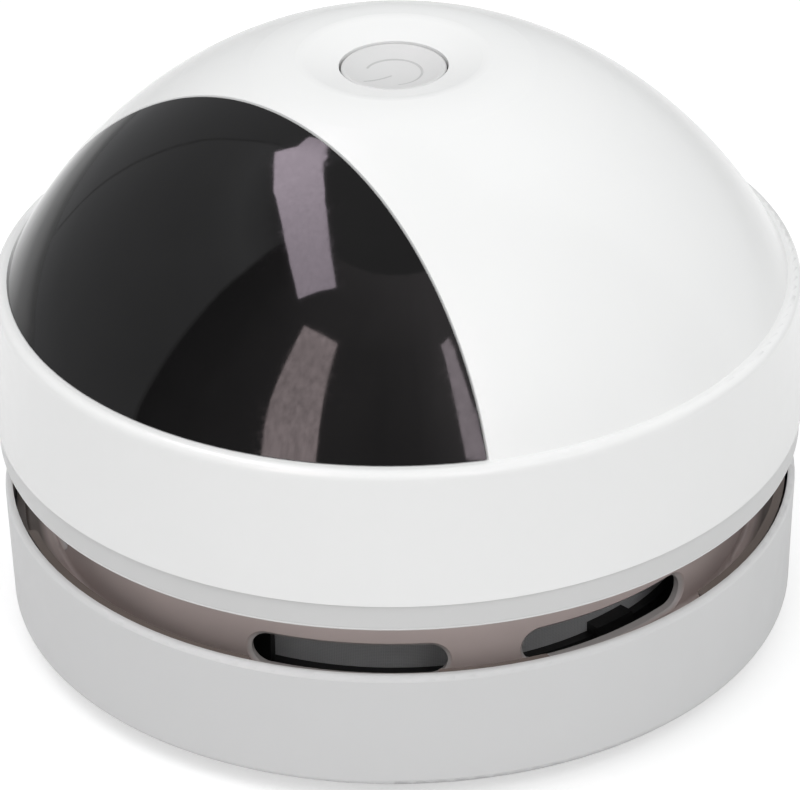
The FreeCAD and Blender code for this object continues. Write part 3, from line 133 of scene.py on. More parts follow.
def make_camera():
    """The photograph's viewing angle, distance and framing."""
    back = direction(CAMERA_AZIMUTH, CAMERA_ELEVATION)
    right = Vector((0, 0, 1)).cross(back).normalized()
    up = back.cross(right)
    roll = math.radians(CAMERA_ROLL)
    x_axis = right * math.cos(roll) + up * math.sin(roll)
    y_axis = up * math.cos(roll) - right * math.sin(roll)
    data = bpy.data.cameras.new("camera")
    data.sensor_width = SENSOR_WIDTH
    data.lens = FOCAL_PIXELS * SENSOR_WIDTH / IMAGE_WIDTH
    data.shift_x = CAMERA_SHIFT_PIXELS / IMAGE_WIDTH
    data.clip_start = 0.01
    data.clip_end = 50
    camera = bpy.data.objects.new("camera", data)
    bpy.context.scene.collection.objects.link(camera)
    turn = Matrix((x_axis, y_axis, back)).transposed().to_4x4()
    camera.matrix_world = Matrix.Translation(CAMERA_TARGET + back * CAMERA_DISTANCE) @ turn
    bpy.context.scene.camera = camera


class Shader:
    """A node material, built one node at a time."""

    def __init__(self, name, **settings):
        self.material = bpy.data.materials.new(name)
        self.material.use_nodes = True
        self.tree = self.material.node_tree
        self.bsdf = next(n for n in self.tree.nodes if n.type == "BSDF_PRINCIPLED")
        self.output = next(n for n in self.tree.nodes if n.type == "OUTPUT_MATERIAL")
        for word, value in settings.items():
            self.bsdf.inputs[word.replace("_", " ")].default_value = value
        self.coords = self.add("ShaderNodeTexCoord")

    def add(self, kind, inputs=None, **settings):
        """A node with its settings, and with a value or a link for each input named."""
        node = self.tree.nodes.new(kind)
        for word, value in settings.items():
            setattr(node, word, value)
        for word, value in (inputs or {}).items():
            self.put(value, node.inputs[word])
        return node

    def put(self, value, socket):
        """Link a socket's output to another socket, or set a plain value on it."""
        if isinstance(value, bpy.types.NodeSocket):
            self.tree.links.new(value, socket)
        else:
            socket.default_value = value

    def link(self, value, word):
        """Feed one of the surface's own inputs."""
        self.tree.links.new(value, self.bsdf.inputs[word])

    def scaled(self, scale):
        """Object coordinates in metres, times a scale each way."""
        mapping = self.add("ShaderNodeMapping", {"Vector": self.coords.outputs["Object"]})
        mapping.inputs["Scale"].default_value = scale
        return mapping.outputs["Vector"]

    def parts(self):
        """Object coordinates in metres, one by one."""
        node = self.add("ShaderNodeSeparateXYZ", {"Vector": self.coords.outputs["Object"]})
        return node.outputs["X"], node.outputs["Y"], node.outputs["Z"]

    def reach(self):
        """Distance from the object's upright axis, in metres."""
        squares = [self.maths("MULTIPLY", part, part) for part in self.parts()[:2]]
        return self.maths("SQRT", self.maths("ADD", *squares))

    def noise(self, scale, detail=3.0, roughness=0.5, stretch=(1, 1, 1)):
        vector = self.scaled(stretch)
        inputs = {"Vector": vector, "Scale": scale, "Detail": detail, "Roughness": roughness}
        return self.add("ShaderNodeTexNoise", inputs).outputs["Fac"]

    def cloud(self, low, high, scale, detail=3.0, roughness=0.5):
        """A value that wanders from low to high over the surface."""
        value = self.noise(scale, detail, roughness)
        return self.ramp(value, NOISE_LOW, NOISE_HIGH, low, high)

    def ramp(self, value, low, high, out_low, out_high):
        """Carry the span from low to high over to another span, and hold it at both ends."""
        ends = {"From Min": low, "From Max": high, "To Min": out_low, "To Max": out_high}
        return self.add("ShaderNodeMapRange", {"Value": value, **ends}).outputs["Result"]

    def mask(self, value, low, high):
        """0 below low, 1 above high, and even between."""
        return self.ramp(value, low, high, 0.0, 1.0)

    def maths(self, operation, first, second=0.0):
        node = self.add("ShaderNodeMath", operation=operation)
        self.put(first, node.inputs[0])
        self.put(second, node.inputs[1])
        return node.outputs["Value"]

    def ripple(self, value, pitch):
        """A wave from -1 to 1 that repeats at each pitch of a value."""
        return self.maths("SINE", self.maths("MULTIPLY", value, 2 * math.pi / pitch))

    def mix(self, factor, first, second):
        """One colour where the factor is 0, the other where it is 1."""
        node = self.add("ShaderNodeMix", data_type="RGBA")
        self.put(factor, node.inputs["Factor"])
        sockets = [socket for socket in node.inputs if socket.type == "RGBA"]
        for socket, colour in zip(sockets, (first, second)):
            self.put(colour if isinstance(colour, bpy.types.NodeSocket) else rgba(colour), socket)
        return next(socket for socket in node.outputs if socket.type == "RGBA")

    def bump(self, height, distance):
        inputs = {"Height": height, "Distance": distance, "Strength": 1.0}
        self.link(self.add("ShaderNodeBump", inputs).outputs["Normal"], "Normal")


def rgba(colour):
    return (*colour, 1.0)


def shade(colour, factor):
    return tuple(min(channel * factor, 1.0) for channel in colour)


def plastic(name, colour, rough, grain=GRAIN, mottle=0.02, **settings):
    """Moulded plastic: a fine grain, a slow drift in tone and in gloss."""
    shader = Shader(name, **settings)
    tone = shader.cloud(0.0, 1.0, 60, 2)
    light, dark = shade(colour, 1 + mottle), shade(colour, 1 - mottle)
    shader.link(shader.mix(tone, dark, light), "Base Color")
    shader.link(shader.cloud(rough * 0.88, rough * 1.12, 350, 4, 0.6), "Roughness")
    shader.bump(shader.noise(GRAIN_SCALE, 2), grain)
    return shader


def smoked_plastic(name, colour, slot_highlight_colour, trough_shade_colour):
    """Smoked moulding with a pearl filler, a painted highlight on its slot edges and painted shade
    in its trough.
    """
    shader = Shader(name, Metallic=0.15, Coat_Weight=0.1, Coat_Roughness=0.1)
    depth = shader.maths("SUBTRACT", COLLAR_RADIUS, shader.reach())
    # Where the slots cut the wall it turns paler: a painted highlight on the slot edges.
    cut = shader.mask(depth, 0.00004, 0.0003)
    skin_colour = shader.mix(shader.cloud(0.0, 1.0, 90), shade(colour, 0.95), shade(colour, 1.05))
    # The trough beyond the collar's foot is darkened: painted shade.
    low = shader.ramp(depth, -TROUGH_STEP, -TROUGH_STEP / 2, 1.0, 0.0)
    highlighted_skin = shader.mix(cut, skin_colour, slot_highlight_colour)
    shader.link(shader.mix(low, highlighted_skin, trough_shade_colour), "Base Color")
    shader.link(shader.cloud(0.2, 0.27, 400, 4, 0.6), "Roughness")
    shader.bump(shader.noise(GRAIN_SCALE, 2), GRAIN)
    return shader


def metal(name, colour, rough, stretch=(1, 1, 0.05)):
    """Drawn or turned metal: fine streaks, and a slow drift in tone."""
    shader = Shader(name, Metallic=1.0)
    streaks = shader.noise(6000, 3, 0.6, stretch)
    tone = shader.cloud(0.0, 1.0, 220)
    shader.link(shader.mix(tone, shade(colour, 0.88), colour), "Base Color")
    shader.link(shader.ramp(streaks, 0.25, 0.75, rough * 0.75, rough * 1.3), "Roughness")
    shader.bump(streaks, 0.000002)
    return shader


def glossy_black(name, colour, rough):
    """Polished moulding: faint wiping marks that only show in its reflections."""
    shader = Shader(name, IOR=1.5)
    smear = shader.noise(260, 6, 0.62, (1, 1, 0.35))
    wipes = shader.noise(1900, 3, 0.7, (1, 0.12, 1))
    tone = shader.mask(shader.noise(90, 2), 0.35, 0.65)
    shader.link(shader.mix(tone, shade(colour, 0.9), shade(colour, 1.1)), "Base Color")
    marks = shader.maths("MULTIPLY", shader.mask(smear, 0.48, 0.72), shader.mask(wipes, 0.4, 0.7))
    shader.link(shader.ramp(marks, 0.0, 1.0, rough, rough * 3.2), "Roughness")
    shader.bump(shader.noise(120, 2), 0.000008)
    return shader


def woven(name, dark, light, pitch, ring):
    """Filter cloth on a round cage: threads up and around, over and under each other."""
    shader = Shader(name, Roughness=0.8, Sheen_Weight=0.15)
    across, along, up = shader.parts()
    turn = shader.maths("ARCTAN2", along, across)
    weft = shader.ripple(shader.maths("MULTIPLY", turn, ring), pitch)
    warp = shader.ripple(up, pitch)
    threads = shader.maths("MAXIMUM", weft, warp)
    thick = shader.mask(threads, -0.2, 0.9)
    tone = shader.maths("MULTIPLY", thick, shader.cloud(0.82, 1.0, 500, 4, 0.6))
    shader.link(shader.mix(tone, dark, light), "Base Color")
    shader.bump(threads, pitch * 0.15)
    return shader


def rubber(name, colour):
    """Soft moulding: matt, a little dusty on top of its tooth."""
    shader = Shader(name, Roughness=0.85, Specular_IOR_Level=0.3)
    dust = shader.mask(shader.noise(700, 5, 0.7), 0.4, 0.75)
    shader.link(shader.mix(dust, colour, shade(colour, 1.9)), "Base Color")
    shader.bump(shader.noise(9000, 2), 0.000015)
    return shader


def circuit(name):
    """Solder mask over copper tracks, with bare pads."""
    shader = Shader(name, Coat_Weight=0.3, Coat_Roughness=0.2)
    across, along = shader.parts()[:2]
    inputs = {"Vector": shader.coords.outputs["Object"], "Scale": 330}
    cells = shader.add("ShaderNodeTexVoronoi", inputs, distance="MANHATTAN")
    tracks = shader.maths("MULTIPLY", shader.ripple(across, 0.0011), shader.ripple(along, 0.0017))
    wander = shader.maths("ADD", tracks, shader.cloud(-0.4, 0.4, 300, 2))
    copper = shader.mask(wander, 0.05, 0.12)
    pads = shader.maths("SUBTRACT", 1.0, shader.mask(cells.outputs["Distance"], 0.18, 0.21))
    mask = shader.mix(copper, (0.008, 0.09, 0.03), (0.02, 0.19, 0.07))
    shader.link(shader.mix(pads, mask, (0.72, 0.7, 0.66)), "Base Color")
    shader.link(shader.maths("MULTIPLY", pads, 0.9), "Metallic")
    shader.link(shader.cloud(0.3, 0.42, 900), "Roughness")
    shader.bump(shader.maths("ADD", copper, pads), 0.00003)
    return shader


def wrapped_cell(name, low, high):
    """Shrink film over a battery cell: paler ends, and puckers where it turned in."""
    shader = Shader(name, Coat_Weight=0.4, Coat_Roughness=0.12)
    up = shader.parts()[2]
    end = (high - low) * 0.06
    upper, lower = shader.mask(up, high - end, high), shader.ramp(up, low, low + end, 1.0, 0.0)
    ends = shader.maths("MAXIMUM", upper, lower)
    pucker = shader.noise(1500, 3, 0.6, (1, 1, 0.15))
    tone = shader.mix(shader.cloud(0.0, 1.0, 80, 2), (0.02, 0.09, 0.3), (0.03, 0.12, 0.38))
    shader.link(shader.mix(ends, tone, (0.35, 0.38, 0.42)), "Base Color")
    shader.link(shader.cloud(0.22, 0.34, 400), "Roughness")
    shader.bump(shader.maths("MULTIPLY", pucker, ends), 0.00012)
    return shader


def wound_core(name, tip_ring):
    """Armature: stacked steel sheets at the pole tips, enamelled copper wound inside them."""
    shader = Shader(name, Metallic=1.0)
    across, along, up = shader.parts()
    tips = shader.mask(shader.reach(), tip_ring - 0.0001, tip_ring)
    sheets = shader.ripple(up, 0.0005)
    slope = shader.maths("ADD", shader.maths("ADD", across, along), up)
    turns = shader.ripple(slope, 0.0003)
    steel = shader.mix(shader.mask(sheets, -0.6, 0.2), (0.12, 0.12, 0.125), (0.5, 0.5, 0.5))
    copper = shader.mix(shader.mask(turns, -0.5, 0.5), (0.25, 0.08, 0.03), (0.72, 0.3, 0.14))
    shader.link(shader.mix(tips, copper, steel), "Base Color")
    shader.link(shader.cloud(0.25, 0.4, 900), "Roughness")
    shader.bump(shader.maths("ADD", turns, sheets), 0.00002)
    return shader


def segments(name):
    """Commutator: copper segments with dark slits, scored round by the brushes."""
    shader = Shader(name, Metallic=1.0)
    across, along, up = shader.parts()
    turn = shader.maths("ARCTAN2", along, across)
    slit = shader.mask(shader.ripple(turn, 2 * math.pi / SEGMENTS), 0.985, 0.995)
    score = shader.ripple(up, 0.00022)
    copper = shader.mix(shader.mask(score, -0.5, 0.8), (0.42, 0.2, 0.09), (0.78, 0.42, 0.22))
    shader.link(shader.mix(slit, copper, (0.02, 0.015, 0.01)), "Base Color")
    shader.link(shader.cloud(0.2, 0.4, 1200), "Roughness")
    shader.bump(score, 0.000006)
    return shader


def sleeved_lead(name, right, left):
    """Soft sleeve over wire: one colour on each side, with a slight waviness."""
    shader = Shader(name, Coat_Weight=0.2, Coat_Roughness=0.2)
    side = shader.mask(shader.parts()[0], -0.0001, 0.0001)
    tone = shader.cloud(0.0, 0.12, 900)
    shader.link(shader.mix(tone, shader.mix(side, left, right), (0.3, 0.3, 0.3)), "Base Color")
    shader.link(shader.cloud(0.3, 0.45, 1500), "Roughness")
    shader.bump(shader.noise(1300, 2), 0.00003)
    return shader


def clear_lens(name):
    """Cloudy light guide."""
    shader = Shader(name, Transmission_Weight=0.7, IOR=1.49)
    cloud = shader.cloud(0.0, 1.0, 1200)
    shader.link(shader.mix(cloud, (0.8, 0.84, 0.8), (0.9, 0.92, 0.9)), "Base Color")
    shader.link(shader.ramp(cloud, 0.0, 1.0, 0.2, 0.4), "Roughness")
    return shader


def dress(shader, *names):
    """Give carried-over CAD nodes their material."""
    for name in names:
        materials = nodes[name].data.materials
        materials.clear()
        materials.append(shader.material)


def smooth_over_seams(item):
    """Let gloss run on over the seams between a solid's faces, up to its sharp edges."""
    weld = item.modifiers.new("weld", "WELD")
    weld.merge_threshold = 0.000001
    split = item.modifiers.new("split", "EDGE_SPLIT")
    split.split_angle = math.radians(30)
    split.use_edge_sharp = False
    weighted = item.modifiers.new("weighted", "WEIGHTED_NORMAL")
    weighted.mode = "CORNER_ANGLE"


def make_materials():
    """Dress the CAD nodes, but for the tufts, which bristles replace."""
    low, high = (corner.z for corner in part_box("battery_cell"))
    tip_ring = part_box("armature_core")[1].x - POLE_TIP
    coat = {"Coat_Weight": 0.1, "Coat_Roughness": 0.1}
    fine, medium, coarse = ({"grain": depth} for depth in (0.000006, 0.00001, 0.00002))
    # The collar's colour, its paler slot edges (a painted highlight) and its darker trough (painted
    # shade).
    smoke = (0.62, 0.525, 0.505), (0.66, 0.62, 0.61), (0.18, 0.15, 0.135)
    threads = (0.46, 0.46, 0.47), (0.6, 0.6, 0.61)
    sleeves = (0.42, 0.03, 0.02), (0.02, 0.02, 0.02)
    fan_black, magnet_grey = (0.022, 0.022, 0.024), (0.05, 0.05, 0.052)
    screws = [name for name in nodes if name.endswith("_screws")]

    dress(plastic("shell_white", (0.86, 0.86, 0.857), 0.24, mottle=0.006, **coat), "dome_shell")
    dress(glossy_black("visor_black", (0.0075, 0.0072, 0.0074), 0.045), "visor_panel")
    dress(plastic("base_grey", (0.67, 0.67, 0.672), 0.34, mottle=0.008), "base_shell")
    dress(smoked_plastic("collar_smoke", *smoke), "exhaust_collar")
    dress(plastic("chassis_grey", (0.65, 0.65, 0.648), 0.36, mottle=0.01), "chassis_plate")
    dress(plastic("cage_black", (0.012, 0.012, 0.012), 0.42, mottle=0.1, **coarse), "filter_cage")
    dress(woven("mesh_grey", *threads, pitch=0.00018, ring=0.0315), "filter_mesh")
    dress(plastic("duct_grey", (0.33, 0.33, 0.33), 0.42, **medium), "intake_duct")
    dress(rubber("rubber_dark", (0.03, 0.03, 0.03)), "rubber_feet")
    dress(rubber("seal_grey", (0.17, 0.17, 0.17)), "cup_seal", "cage_seal")
    dress(plastic("button_white", (0.672, 0.67, 0.669), 0.4, mottle=0.008, **fine), "power_button")
    dress(plastic("switch_black", (0.02, 0.02, 0.02), 0.45, mottle=0.1, **medium), "switch_body")
    dress(plastic("plunger_red", (0.45, 0.03, 0.02), 0.4), "switch_plunger")
    dress(circuit("board_green"), "switch_board", "charge_board")
    dress(plastic("cap_white", (0.66, 0.65, 0.6), 0.4), "motor_end_cap")
    dress(plastic("fan_black", fan_black, 0.3, mottle=0.12, **fine), "impeller")
    dress(wrapped_cell("cell_blue", low, high), "battery_cell")
    dress(clear_lens("light_clear"), "charge_light")
    dress(metal("screw_steel", (0.56, 0.56, 0.55), 0.3), *screws)
    dress(metal("can_steel", (0.6, 0.6, 0.59), 0.28, stretch=(1, 1, 6)), "motor_can")
    dress(metal("shaft_steel", (0.62, 0.62, 0.62), 0.16, stretch=(1, 1, 12)), "motor_shaft")
    dress(metal("brass", (0.72, 0.5, 0.22), 0.3), "motor_bushes", "motor_terminals")
    dress(plastic("magnet_grey", magnet_grey, 0.6, mottle=0.25, **coarse), "motor_magnets")
    dress(wound_core("core_copper", tip_ring), "armature_core")
    dress(segments("commutator_copper"), "commutator")
    dress(metal("socket_steel", (0.6, 0.6, 0.6), 0.22), "charge_socket")
    dress(sleeved_lead("lead_sleeve", *sleeves), "battery_leads", "charge_leads", "motor_leads")
    smooth_over_seams(nodes["visor_panel"])


def new_piece(name, mesh, shader, body):
    """A piece of the scene's own, riding on a body."""
    item = bpy.data.objects.new(name, mesh)
    bpy.context.scene.collection.objects.link(item)
    mesh.materials.append(shader.material)
    for face in mesh.polygons:
        face.use_smooth = True
    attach(item, body)
    return item


def skin(bm, rows, closed=True):
    """Faces from each row of points to the next; a closed row runs on from its end to its start."""
    for first, second in zip(rows, rows[1:]):
        for place in range(len(first) if closed else len(first) - 1):
            after = (place + 1) % len(first)
            bm.faces.new((first[place], first[after], second[after], second[place]))


def finished(bm, name):
    """What was drawn, as a mesh."""
    mesh = bpy.data.meshes.new(name)
    bm.to_mesh(mesh)
    bm.free()
    return mesh


def ribbon(bm, path, width, height):
    """A low rounded rib along a level path, closed at both ends by half rounds."""
    sides, spokes = 7, 10
    rows = []
    for index, here in enumerate(path):
        before, after = path[max(index - 1, 0)], path[min(index + 1, len(path) - 1)]
        way = (after - before).normalized()
        left = Vector((-way.y, way.x, 0))
        row = []
        for step in range(sides):
            turn = math.pi * step / (sides - 1)
            spot = here + left * math.cos(turn) * width / 2
            spot.z = height * math.sin(turn)
            row.append(bm.verts.new(spot))
        rows.append(row)
    skin(bm, rows, closed=False)
    for here, other in ((path[0], path[1]), (path[-1], path[-2])):
        way = (here - other).normalized()
        left = Vector((-way.y, way.x, 0))
        crown = bm.verts.new((here.x, here.y, height))
        rim = []
        for spoke in range(spokes + 1):
            turn = math.pi * spoke / spokes
            spot = here + (left * math.cos(turn) + way * math.sin(turn)) * width / 2
            rim.append(bm.verts.new((spot.x, spot.y, 0)))
        for one, two in zip(rim, rim[1:]):
            bm.faces.new((crown, two, one))


def make_power_mark():
    """The power sign in the button's hollow top: a broken ring and a bar, as a thin line."""
    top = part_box("power_button")[1].z
    first, last = SIGN_GAP_MIDDLE + SIGN_GAP / 2, SIGN_GAP_MIDDLE + 360 - SIGN_GAP / 2
    out = direction(SIGN_GAP_MIDDLE, 0)
    ring_path = [direction(turn, 0) * SIGN_RING for turn in spread(first, last, 72)]
    bar_path = [out * reach for reach in spread(SIGN_BAR_START, SIGN_BAR_END, 16)]
    bm = bmesh.new()
    for path in (ring_path, bar_path):
        ribbon(bm, path, SIGN_WIDTH, SIGN_HEIGHT)
    for vertex in bm.verts:
        share = math.hypot(vertex.co.x, vertex.co.y) / BUTTON_RIM
        vertex.co.z += top - BUTTON_DIP * (1 - share * share) - SIGN_SINK
    bmesh.ops.recalc_face_normals(bm, faces=bm.faces)
    ink = plastic("mark_grey", (0.5, 0.5, 0.5), 0.45, mottle=0.05)
    new_piece("power_mark", finished(bm, "power_mark"), ink, "button")


def make_lip_bead():
    """A fine bead along the lower edge of the plate's visible lip, paler than the plate: a painted
    highlight.
    """
    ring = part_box("chassis_plate")[1].x - LIP_BEAD
    level = LIP_FOOT + LIP_BEAD
    steps, sides = 240, 10
    bm = bmesh.new()
    rows = []
    for side in range(sides):
        roll = 2 * math.pi * side / sides
        reach, height = ring + LIP_BEAD * math.cos(roll), level + LIP_BEAD * math.sin(roll)
        row = []
        for step in range(steps):
            turn = 2 * math.pi * step / steps
            row.append(bm.verts.new((math.cos(turn) * reach, math.sin(turn) * reach, height)))
        rows.append(row)
    skin(bm, rows + rows[:1])
    bmesh.ops.recalc_face_normals(bm, faces=bm.faces)
    # Paler than the plate: besides the light the bead itself catches, a painted highlight along the
    # lip.
    highlight_trim = plastic("bead_painted_highlight", (0.7, 0.7, 0.698), 0.3, mottle=0.01)
    new_piece("lip_bead", finished(bm, "lip_bead"), highlight_trim, "upper_unit")


def make_commutator():
    """Three copper segments over a ring of risers, with milled slits between them."""
    low, high = (corner.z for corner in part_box("commutator"))
    points = nodes["commutator"].data.vertices
    bore = min(math.hypot(point.co.x, point.co.y) for point in points)
    levels = [
        (bore, low, 0),
        (COMMUTATOR_RISERS - COMMUTATOR_CHAMFER, low, 0),
        (COMMUTATOR_RISERS, low + COMMUTATOR_CHAMFER, 0),
        (COMMUTATOR_RISERS, low + RISERS_TOP, 1),
        (COMMUTATOR_RADIUS, low + SEGMENTS_FOOT, 1),
        (COMMUTATOR_RADIUS, high - COMMUTATOR_CHAMFER, 1),
        (COMMUTATOR_RADIUS - COMMUTATOR_CHAMFER, high, 1),
        (bore, high, 0),
    ]
    # Steps of 4 degrees, and finer ones at each segment's slit
    pitch = 360 // SEGMENTS
    steps = [*range(0, 28, 4), 27, 27.5, SLIT_TURN, 32.5, 33, *range(36, pitch, 4)]
    turns = [base + step for base in range(0, 360, pitch) for step in steps]
    bm = bmesh.new()
    rows = []
    for radius, height, slit in levels:
        row = []
        for turn in turns:
            off = abs((turn - SLIT_TURN + pitch / 2) % pitch - pitch / 2)
            reach = radius - SLIT_DEPTH if slit and off < SLIT_HALF else radius
            way = math.radians(turn)
            row.append(bm.verts.new((math.cos(way) * reach, math.sin(way) * reach, height)))
        rows.append(row)
    skin(bm, rows + rows[:1])
    bmesh.ops.recalc_face_normals(bm, faces=bm.faces)
    mesh, copper = finished(bm, "commutator_ring"), segments("segment_copper")
    piece = new_piece("commutator_ring", mesh, copper, "rotor")
    piece.modifiers.new("crisp", "EDGE_SPLIT").split_angle = math.radians(40)
    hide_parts("commutator")


def make_bristles():
    """Twenty tufts of nylon bristle round the intake, splayed and cut at uneven lengths."""
    low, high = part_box("brush_tufts")
    chance = random.Random(7)
    centres = tuft_centres()
    bm = bmesh.new()
    for centre in centres:
        for number in range(BRISTLES):
            reach = TUFT_RADIUS * math.sqrt((number + 0.5) / BRISTLES)
            turn = number * math.radians(BRISTLE_TURN)
            out = Vector((math.cos(turn), math.sin(turn), 0))
            foot = centre + out * reach
            foot.z = high.z - BRISTLE_ROOT
            lean = out * reach * chance.uniform(0.05, 0.14)
            tip = foot + lean
            tip.z = low.z + chance.uniform(0.0, BRISTLE_UNEVEN)
            hair(bm, foot, tip, chance.uniform(-BRISTLE_BOW, BRISTLE_BOW))
    nylon = plastic("bristle_black", (0.018, 0.018, 0.019), 0.35, mottle=0.3)
    mesh = finished(bm, "brush_bristles")
    piece = new_piece("brush_bristles", mesh, nylon, "base")
    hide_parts("brush_tufts")


def hair(bm, foot, tip, bow):
    """One bristle: a thin bowed rod, rounded off at its tip."""
    sides = 5
    rows = []
    shares = ((0.0, 1.0), (0.35, 1.0), (0.7, 0.95), (0.95, 0.85), (1.0, 0.45))
    side = Vector((foot.y, -foot.x, 0)).normalized()
    for share, scale in shares:
        here = foot.lerp(tip, share) + side * bow * math.sin(math.pi * share)
        row = []
        for step in range(sides):
            turn = 2 * math.pi * step / sides
            out = Vector((math.cos(turn), math.sin(turn), 0))
            row.append(bm.verts.new(here + out * BRISTLE_RADIUS * scale))
        rows.append(row)
    for first, second in zip(rows, rows[1:]):
        for step in range(sides):
            after = (step + 1) % sides
            bm.faces.new((first[step], second[step], second[after], first[after]))
    bm.faces.new(rows[-1])
    bm.faces.new(list(reversed(rows[0])))


def tuft_centres():
    """Middles of the CAD tufts, found from the separate lumps of their node's mesh."""
    mesh = nodes["brush_tufts"].data
    bm = bmesh.new()
    bm.from_mesh(mesh)
    bmesh.ops.remove_doubles(bm, verts=bm.verts, dist=0.000001)
    left = set(bm.verts)
    centres = []
    while left:
        lump, edge = set(), [left.pop()]
        while edge:
            vertex = edge.pop()
            lump.add(vertex)
            for link in vertex.link_edges:
                other = link.other_vert(vertex)
                if other in left:
                    left.discard(other)
                    edge.append(other)
        total = sum((vertex.co for vertex in lump), Vector()) / len(lump)
        centres.append(Vector((total.x, total.y, 0)))
    bm.free()
    return sorted(centres, key=lambda spot: math.atan2(spot.y, spot.x))


def glow_object(name, mesh, strengths, colour, texture=0.0, grain=0.0):
    """Light a mesh for gloss alone, by a strength at each point, with faint streaks where asked."""
    glow = mesh.attributes.new("glow", "FLOAT", "POINT")
    glow.data.foreach_set("value", strengths)
    item = bpy.data.objects.new(name, mesh)
    bpy.context.scene.collection.objects.link(item)
    shader = Shader(name)
    strength = shader.add("ShaderNodeAttribute", attribute_name="glow").outputs["Fac"]
    if texture:
        folds = shader.noise(grain, 5, 0.7, (1, 1, 0.4))
        streaks = shader.ramp(folds, 0.35, 0.65, 1 - texture, 1.0)
        strength = shader.maths("MULTIPLY", strength, streaks)
    emission = shader.add("ShaderNodeEmission", {"Color": rgba(colour), "Strength": strength})
    shader.tree.links.new(emission.outputs[0], shader.output.inputs["Surface"])
    shader.tree.nodes.remove(shader.bsdf)
    mesh.materials.append(shader.material)
    item.visible_camera = False
    item.visible_diffuse = False
    item.visible_shadow = False


def soft_box(name, rows, colour, texture, grain):
    """A lamp that runs through rows of a left direction, a right direction and a strength."""
    points = []
    strengths = []
    for left, right, strength in rows:
        for corner in (left, right):
            points.append(direction(*corner) * SOFT_BOX_DISTANCE + CAMERA_TARGET)
            strengths.append(strength)
    faces = [(place, place + 1, place + 3, place + 2) for place in range(0, len(points) - 2, 2)]
    mesh = bpy.data.meshes.new(name)
    mesh.from_pydata(points, [], faces)
    glow_object(name, mesh, strengths, colour, texture, grain)


def tent_wall(name, azimuths, elevations, rows, colour):
    """A curved wall seen only in gloss: its light is given at azimuths along each elevation."""
    points = []
    strengths = []
    for elevation, line, row in zip(elevations, azimuths, rows):
        for azimuth, strength in zip(line, row):
            points.append(direction(azimuth, elevation) * WALL_DISTANCE + CAMERA_TARGET)
            strengths.append(strength)
    width = len(azimuths[0])
    faces = []
    for line in range(len(elevations) - 1):
        for place in range(width - 1):
            first = line * width + place
            faces.append((first, first + 1, first + width + 1, first + width))
    mesh = bpy.data.meshes.new(name)
    mesh.from_pydata(points, [], faces)
    glow_object(name, mesh, strengths, colour)


def make_world():
    """Even light on matt surfaces, a dimmer room in gloss, and white behind the object."""
    world = bpy.data.worlds.new("studio")
    bpy.context.scene.world = world
    world.use_nodes = True
    tree = world.node_tree
    tree.nodes.clear()
    path = tree.nodes.new("ShaderNodeLightPath")
    shaders = {}
    for word, colour, strength in (
        ("matt", (0.99, 1, 1), 0.68),
        ("gloss", (1, 1, 1), 0.2),
        ("seen", (1, 1, 1), 1.0),
    ):
        shaders[word] = tree.nodes.new("ShaderNodeBackground")
        shaders[word].inputs["Color"].default_value = rgba(colour)
        shaders[word].inputs["Strength"].default_value = strength
    last = shaders["matt"].outputs[0]
    for ray, word in (("Is Glossy Ray", "gloss"), ("Is Camera Ray", "seen")):
        mixer = tree.nodes.new("ShaderNodeMixShader")
        tree.links.new(path.outputs[ray], mixer.inputs[0])
        tree.links.new(last, mixer.inputs[1])
        tree.links.new(shaders[word].outputs[0], mixer.inputs[2])
        last = mixer.outputs[0]
    output = tree.nodes.new("ShaderNodeOutputWorld")
    tree.links.new(last, output.inputs[0])


def make_floor():
    """A floor in a painted pool of light, darker away from the object so that gloss shows a
    horizon.
    """
    signs = ((-1, -1), (1, -1), (1, 1), (-1, 1))
    corners = [(across * FLOOR_HALF, along * FLOOR_HALF, 0) for across, along in signs]
    floor = bpy.data.meshes.new("floor")
    floor.from_pydata(corners, [], [(0, 1, 2, 3)])
    item = bpy.data.objects.new("floor", floor)
    bpy.context.scene.collection.objects.link(item)
    shader = Shader("floor_painted_light", Roughness=0.6)
    reach = shader.reach()
    # Paler near the object and darker away from it: a painted pool of light on the floor.
    near, middle = shader.mask(reach, 0.2, 0.42), shader.mask(reach, 0.42, 0.85)
    paper = shader.cloud(0.0, 1.0, 30)
    pale = shader.mix(paper, (0.635, 0.635, 0.635), (0.645, 0.645, 0.645))
    grey = shader.mix(near, pale, (0.6, 0.6, 0.6))
    shader.link(shader.mix(middle, grey, (0.4, 0.4, 0.4)), "Base Color")
    rays = shader.add("ShaderNodeLightPath").outputs
    mirrored = shader.maths("MAXIMUM", rays["Is Glossy Ray"], rays["Is Transmission Ray"])
    # Close to the object the floor's glow in gloss is weaker: a painted shadow of the object.
    mirrored = shader.maths("MULTIPLY", mirrored, shader.ramp(reach, 0.055, 0.1, 0.35, 1.0))
    seen = shader.maths("MAXIMUM", rays["Is Camera Ray"], mirrored)
    lift = shader.maths("MULTIPLY", seen, shader.ramp(reach, 0.13, 0.3, FLOOR_LIFT, 0.0))
    shader.put(rgba((1, 1, 1)), shader.bsdf.inputs["Emission Color"])
    shader.link(lift, "Emission Strength")
    floor.materials.append(shader.material)


def make_lamp(name, energy, azimuth, elevation):
    """A square lamp that faces the object and shows in no reflection."""
    data = bpy.data.lights.new(name, "AREA")
    data.shape = "SQUARE"
    data.size = LAMP_SIZE
    data.energy = energy
    item = bpy.data.objects.new(name, data)
    bpy.context.scene.collection.objects.link(item)
    back = direction(azimuth, elevation)
    turn = back.to_track_quat("Z", "Y").to_matrix().to_4x4()
    item.matrix_world = Matrix.Translation(CAMERA_TARGET + back * LAMP_DISTANCE) @ turn
    item.visible_glossy = False
    item.visible_camera = False


